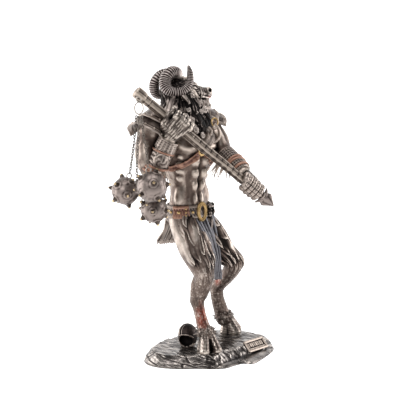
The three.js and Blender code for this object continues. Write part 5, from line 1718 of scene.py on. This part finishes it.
def chain(name, tree, sockets):
    (aside, nearer, lower), bends = ROUTES[name]
    centre, radius, to_chain, _ = BALLS[name]
    start = RING_FOOT + RIGHTWARD * aside + NEARER * nearer + DOWN * lower
    end = np.array(centre) + unit(to_chain) * (radius + 5.0)
    path = spline([start, *bends, end], 400)
    far = run_along(path)
    PITCH = 2.6
    count = int(round(far[-1] / PITCH))
    at = (np.arange(count) + 0.5) * far[-1] / count
    spots = rows_at(at, far, path)
    along = np.gradient(spots, axis=0)
    values = {"Radius": 0.00102, "Stretch": 1.66, "Wire": 0.00043, "Sway": 0.35, "Seed": len(name)}
    cast_points("links_" + name, spots, along, tree, sockets, values, "chain_" + name)


def flail_ring():
    ring = hoop(RING_CENTRE, NEAR, RING_RADIUS, 0.62, RING_STRETCH, UP, (10, 48))
    piece("wire_ring", *ring, CHAIN, node="flail_ring")


def icosahedron():
    """The twelve corners of an icosahedron of radius 1."""
    golden = (1 + math.sqrt(5)) / 2
    rows = [(-1, golden, 0), (1, golden, 0), (-1, -golden, 0), (1, -golden, 0),
            (0, -1, golden), (0, 1, golden), (0, -1, -golden), (0, 1, -golden),
            (golden, 0, -1), (golden, 0, 1), (-golden, 0, -1), (-golden, 0, 1)]
    return np.array(rows) / math.hypot(1, golden)


def spiked_ball(name, tree, sockets):
    centre, radius, to_chain, (spin_x, spin_z) = BALLS[name]
    centre = np.array(centre, float)
    corners = [about(about(corner, RIGHTWARD, spin_x), UP, spin_z) for corner in icosahedron()]
    points, faces = ball(48, 80)
    pits = 0.16 * noise(points * radius, 3.5, 2) + 0.07 * noise(points * radius, 1.2, 3)
    near = np.max(points @ np.array(corners).T, axis=1)
    collar = 0.55 * np.exp(-((np.degrees(np.arccos(np.clip(near, -1, 1))) - 12) / 3) ** 2)
    piece("ball_" + name + "_body", centre + points * (radius - 0.2 + pits + collar)[:, None], faces, STEEL,
          node="ball_" + name)
    spots = [centre + corner * (radius - 0.6) for corner in corners]
    cast_points("spikes_" + name, spots, corners, tree, sockets,
                {"Foot": 0.0032, "Tip": 0.0009, "Length": 0.0044, "Smooth": False, "Seed": len(name)},
                "ball_" + name)
    eye_at = centre + unit(to_chain) * (radius + 1.6)
    eye = hoop(eye_at, (0.3, -1, 0), 2.3, 0.6, 1, UP, (10, 28))
    piece("eye_" + name, *eye, CHAIN, node="ball_" + name)


# Rock base
BASE_OUTLINE = [
    (-59, -14), (-56, -31), (-45, -41), (-27, -45.5), (-8, -45), (6, -46), (19, -44), (28, -36), (36, -30),
    (46, -30.5), (53, -21), (62, -4), (69, 13), (69.5, 27), (61, 39), (46, 50), (26, 55), (4, 51),
    (-16, 41), (-33, 29), (-48, 12),
]
BASE_CENTRE = np.array((4.0, 2.0))
HELMET = (-17, -7, 20.6)
PLATE_CENTRE = np.array((50.8, 4.2, 9.0))
PLATE_HEADING = 46
PLATE_SLOPE = 46
PAD = 12.2


def rock_top(x, y):
    """The height of the rock: slanting layers with crisp edges, flat by the hooves, sloped by the plate."""
    spot = np.stack([x, y, 0 * x], axis=-1).reshape(-1, 3)
    warp = (6 * noise(spot, 20, 3) + 1.2 * noise(spot, 6, 4)).reshape(np.shape(x))
    layer = (x * 0.45 + y * 0.89 + warp) / 10
    step = np.floor(layer)
    ledge = 9.9 + ((step * step * 7) % 3) * 0.9 + 0.9 * (layer - step)
    streak = noise(np.stack([x * 0.9 - y * 0.5, (x * 0.5 + y * 0.86) * 3.2, 0 * x], axis=-1).reshape(-1, 3),
                   5, 6)
    ledge = ledge + 0.3 * streak.reshape(np.shape(x))
    near = np.minimum(*(np.hypot(x - h[0], y - h[1]) for h in (HOOF_R, HOOF_L)))
    share = clamp((near - 12.5) / 4)
    flat = PAD + (ledge - PAD) * share
    ahead = front(PLATE_HEADING)
    fall = (ahead[0] * (x - PLATE_CENTRE[0])
            + ahead[1] * (y - PLATE_CENTRE[1])) * math.tan(math.radians(PLATE_SLOPE))
    beyond = clamp((np.hypot(x - PLATE_CENTRE[0], y - PLATE_CENTRE[1]) - 8) / 8)
    rough = (noise(spot, 5, 9) + 0.6 * noise(spot, 2.2, 10)).reshape(np.shape(x)) * beyond
    return np.minimum(flat, np.maximum(3.0, PLATE_CENTRE[2] - fall - 1.5 + 1.3 * rough))


def rock():
    """Slabs of slate: strata round the edge, with cracks that run aslant."""
    AROUND, UP_SIDE, OVER_TOP = 350, 38, 64
    outline = np.array(BASE_OUTLINE + BASE_OUTLINE[:1], float)
    padded = np.vstack([outline[-2], outline, outline[1]])
    fine = spline(padded, (len(padded) - 1) * 40 + 1)[40:-40]
    far = run_along(fine)
    at = far[-1] * np.arange(AROUND) / AROUND
    edge = rows_at(at, far, fine)
    profile = np.array([(0, 1.0, 0.0), (0.1, 1.004, 0.12), (0.35, 0.985, 0.4), (0.7, 0.945, 0.72),
                        (0.92, 0.9, 0.95), (1.0, 0.875, 1.0)])
    rows = []
    for k in range(UP_SIDE):
        t = k / (UP_SIDE - 1)
        rows.append((np.interp(t, profile[:, 0], profile[:, 1]), np.interp(t, profile[:, 0], profile[:, 2])))
    rows += [(0.875 * (1 - (k + 1) / (OVER_TOP + 1)) ** 1.05, 1.0) for k in range(OVER_TOP)]
    rings = []
    for share, rise in rows:
        spot = BASE_CENTRE + (edge - BASE_CENTRE) * share
        z = rock_top(spot[:, 0], spot[:, 1]) * rise
        if 0 < rise < 1:
            place = np.column_stack([spot, z])
            slant = (z + 0.22 * spot[:, 0] - 0.1 * spot[:, 1] + 2.0 * noise(place, (22, 22, 9), 8)) / 4.4
            layer = slant - np.floor(slant)
            block = noise(np.column_stack([spot / 15, np.floor(slant) * 1.7]), 1, 12)
            groove = clamp(1 - np.abs(layer - 0.1) / 0.1) * np.minimum(1, 12 * rise * (1 - rise))
            depth = 1.3 * block + 0.5 * layer - 0.9 * groove + 0.2 * noise(place, 3, 14)
            crack = np.abs(noise(place + z[:, None] * (0.9, 0.4, 0), (17, 17, 40), 13))
            depth = depth - 1.4 * clamp(1 - crack * 16)
            out = unit_rows(edge - BASE_CENTRE)
            spot = spot + out * (depth * min(1, rise * 5) * 0.8 - 1.2)[:, None]
        rings.append(np.column_stack([spot, z]))
    rings = np.array(rings)
    centre = np.array((*BASE_CENTRE, float(rock_top(*BASE_CENTRE))))
    floor = np.array((*BASE_CENTRE, 0.0))
    points = np.concatenate([rings.reshape(-1, 3), [centre, floor]])
    faces = walled(len(rings), AROUND, (len(points) - 1, len(points) - 2))
    piece("rock", points, faces, ROCK, strength=3.0, node="rock_base")


def helmet():
    """An open-faced helmet that lies on its side, with raised bands over its crown."""
    centre = np.array(HELMET, float)
    clay = Clay(centre - 14, centre + 14, 0.42)
    clay.lump(centre + (0, 0, 0.6), (9.6, 10.0, 11.6), blend=0.5)
    opening = centre + unit((-0.25, -1, -0.35)) * 8.2
    clay.lump(opening, (7.4, 7.0, 6.2), blend=0.5, carve=True)
    clay.lump(opening + (2.5, 2, 5), (3.6, 4.0, 3.0), blend=0.5, carve=True)
    points, quads = clay.skin()
    axis = unit((0.35, -0.8, 0.5))
    away = points - centre
    outward = clay.slope(points)
    outer = (lengths(away) > 9.9) * 1.0
    crown = away @ axis - 3
    band = 0.95 * np.exp(-(crown / 1.2) ** 4) + 0.35 * ridge(np.abs(crown), 3.2, 0.4)
    rim = 0.6 * np.exp(-((lengths((points - opening) / (7.4, 7.0, 6.2)) - 1.16) / 0.08) ** 2)
    points = raised(points, outward, (band + rim) * outer + 0.08 * noise(points, 1.5, 3))
    # The raised band is painted pale: partly rubbed patina on a high spot, partly a painted highlight.
    depth = 0.9 * clay.shade(points, outward) + 0.36 - 0.34 * band * outer
    piece("helmet", points, quads, ARMOUR, depth, node="rock_base")


def name_plate():
    """A small framed plate with rows of shallow strokes in place of words."""
    WIDE, TALL = 28.0, 12.0
    slope, turn = math.radians(PLATE_SLOPE), math.radians(PLATE_HEADING)
    right = np.array((math.cos(turn), math.sin(turn), 0))
    away = np.array((-math.sin(turn) * math.cos(slope), math.cos(turn) * math.cos(slope), math.sin(slope)))
    face = np.cross(right, away)

    def on_plate(u, w):
        """Across and up the plate, and how high its frame and its strokes stand, from 0 to 1."""
        x, y = (u - 0.5) * (WIDE + 0.4), (0.5 - w) * (TALL + 0.2)
        edge = np.minimum(WIDE / 2 - np.abs(x), TALL / 2 - np.abs(y))
        frame = clamp(1.6 - np.abs(edge - 0.8) / 0.5)
        upper = np.abs(y - 0.9) < 2.1
        lower = np.abs(y + 3.2) < 0.7
        slow, quick = np.sin(x * 2.3) + 0.4 * np.sin(x * 0.9 + 1), np.sin(x * 4.4) + 0.5 * np.sin(x * 1.7)
        beat = np.where(upper, slow, quick)
        stroke = clamp((beat - 0.1) * 5) * (upper | lower) * (np.abs(x) < 11)
        return x, y, frame, stroke

    def surface(u, w):
        x, y, frame, stroke = on_plate(u, w)
        rise = 0.9 * frame + 0.4 * stroke - 0.4
        return PLATE_CENTRE + np.outer(x, right) + np.outer(y, away) + np.outer(rise, face)

    ACROSS, DOWNWARD = 150, 62
    u, w = np.meshgrid(np.linspace(0, 1, ACROSS + 1), np.linspace(0, 1, DOWNWARD + 1))
    _, _, frame, stroke = on_plate(u.ravel(), w.ravel())
    depth = np.tile(0.5 - 0.75 * np.maximum(frame, stroke), 2)
    piece("name_plate", *plate(surface, ACROSS, DOWNWARD, 1.4), BRONZE, depth, strength=1.0, node="rock_base")


# Everything in place
legs()
hoof("hoof_right", HOOF_R, HOOF_HEADING_R)
hoof("hoof_left", HOOF_L, HOOF_HEADING_L)
fetlock("fetlock_right", (0.5, -23.5, 27.5), 8.4, 61)
fetlock("fetlock_left", (19.5, 34.5, 28.5), 9.0, 71)
for build in (body, bracers, fringes, right_hand, left_hand, head):
    build()
ear("ear_right", -1)
ear("ear_left", 1)
horn("horn_right", -1)
horn("horn_left", 1)
for build in (hair_mass, mane, beard, forelock, belt, ornament, loincloth, harness, armour,
              flail_shaft, flail_ring):
    build()
links, link_sockets = link_tree()
spikes, spike_sockets = spike_tree()
for which in BALLS:
    chain(which, links, link_sockets)
    spiked_ball(which, spikes, spike_sockets)
rock()
helmet()
name_plate()

for node, things in PIECES.items():
    for thing in things:
        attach(thing, "root")
        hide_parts(node)

# Camera, at the viewing angle judged from the photo. Lengths are in metres, the sensor's in millimetres.
SENSOR = 36
VIEW_RISE = 8
VIEW_DISTANCE = 0.9
VIEW_TARGET = np.array((-0.00485, 0, 0.155))
VIEW_SPAN = 0.388
back = np.array((0, -math.cos(math.radians(VIEW_RISE)), math.sin(math.radians(VIEW_RISE))))
camera = in_scene("camera", bpy.data.cameras.new("camera"))
camera.location = VIEW_TARGET + back * VIEW_DISTANCE
camera.rotation_euler = (math.radians(90 - VIEW_RISE), 0, 0)
camera.data.sensor_width = SENSOR
camera.data.lens = SENSOR / (VIEW_SPAN / VIEW_DISTANCE)
bpy.context.scene.camera = camera


# Floor and studio light
WHITE = (1, 1, 1, 1)
PALE = (0.93, 0.93, 0.93, 1)


def lamp(name, place, size, watts, target=(0, 0, 0.14)):
    light = bpy.data.lights.new(name, "AREA")
    light.size = size
    light.energy = watts
    thing = in_scene(name, light)
    thing.location = place
    way = Vector(target) - Vector(place)
    thing.rotation_euler = way.to_track_quat("-Z", "Y").to_euler()


def floor():
    """A pale floor that bends up into a wall behind, and glows more towards it."""
    material, tree, shader = new_material("pale floor")
    spot = tree.nodes.new("ShaderNodeTexCoord").outputs["Object"]
    cloud = linked(tree, "ShaderNodeTexNoise", {"Vector": spot, "Scale": 2.0})
    tone = colour_mix(tree, cloud.outputs["Fac"], PALE, (0.97, 0.97, 0.97, 1))
    apart = linked(tree, "ShaderNodeSeparateXYZ", {0: spot})
    glow = linked(tree, "ShaderNodeMapRange", {"Value": apart.outputs["Y"], "From Min": 0.2, "From Max": 1.2,
                                               "To Min": 0.5, "To Max": 1.0})
    feed(tree, shader, {"Roughness": 0.6, "Base Color": tone, "Emission Color": WHITE,
                        "Emission Strength": glow.outputs["Result"]})
    mesh = bpy.data.meshes.new("floor")
    REACH, BACK, BEND, TALL = 3.0, 1.6, 0.6, 3.0
    turns = np.linspace(0, math.pi / 2, 16)
    section = [(-2.0, 0.0)] + [(BACK + BEND * math.sin(a), BEND * (1 - math.cos(a))) for a in turns]
    section.append((BACK + BEND, TALL))
    points = [(s * REACH, y, z) for y, z in section for s in (-1, 1)]
    faces = [(2 * k, 2 * k + 1, 2 * k + 3, 2 * k + 2) for k in range(len(section) - 1)]
    mesh.from_pydata(points, [], faces)
    mesh.polygons.foreach_set("use_smooth", [True] * len(mesh.polygons))
    mesh.materials.append(material)
    in_scene("floor", mesh)


floor()
lamp("key", (-0.5, -0.95, 0.7), 0.4, 4.5)
lamp("left side", (-0.95, 0.1, 0.35), 0.8, 8)
lamp("right side", (0.95, 0.15, 0.35), 0.8, 8)
lamp("top", (0.0, -0.1, 1.1), 0.7, 6)
world = bpy.data.worlds.new("studio")
world.use_nodes = True
soft_light = world.node_tree.nodes["Background"]
soft_light.inputs["Color"].default_value = WHITE
soft_light.inputs["Strength"].default_value = 0.16
pale_wall = linked(world.node_tree, "ShaderNodeBackground", {"Color": PALE, "Strength": 1.0})
seen = linked(world.node_tree, "ShaderNodeLightPath").outputs["Is Camera Ray"]
studio = linked(world.node_tree, "ShaderNodeMixShader",
                {0: seen, 1: soft_light.outputs[0], 2: pale_wall.outputs[0]})
world.node_tree.links.new(studio.outputs[0], world.node_tree.nodes["World Output"].inputs["Surface"])
bpy.context.scene.world = world
bpy.context.scene.view_settings.view_transform = "Standard"
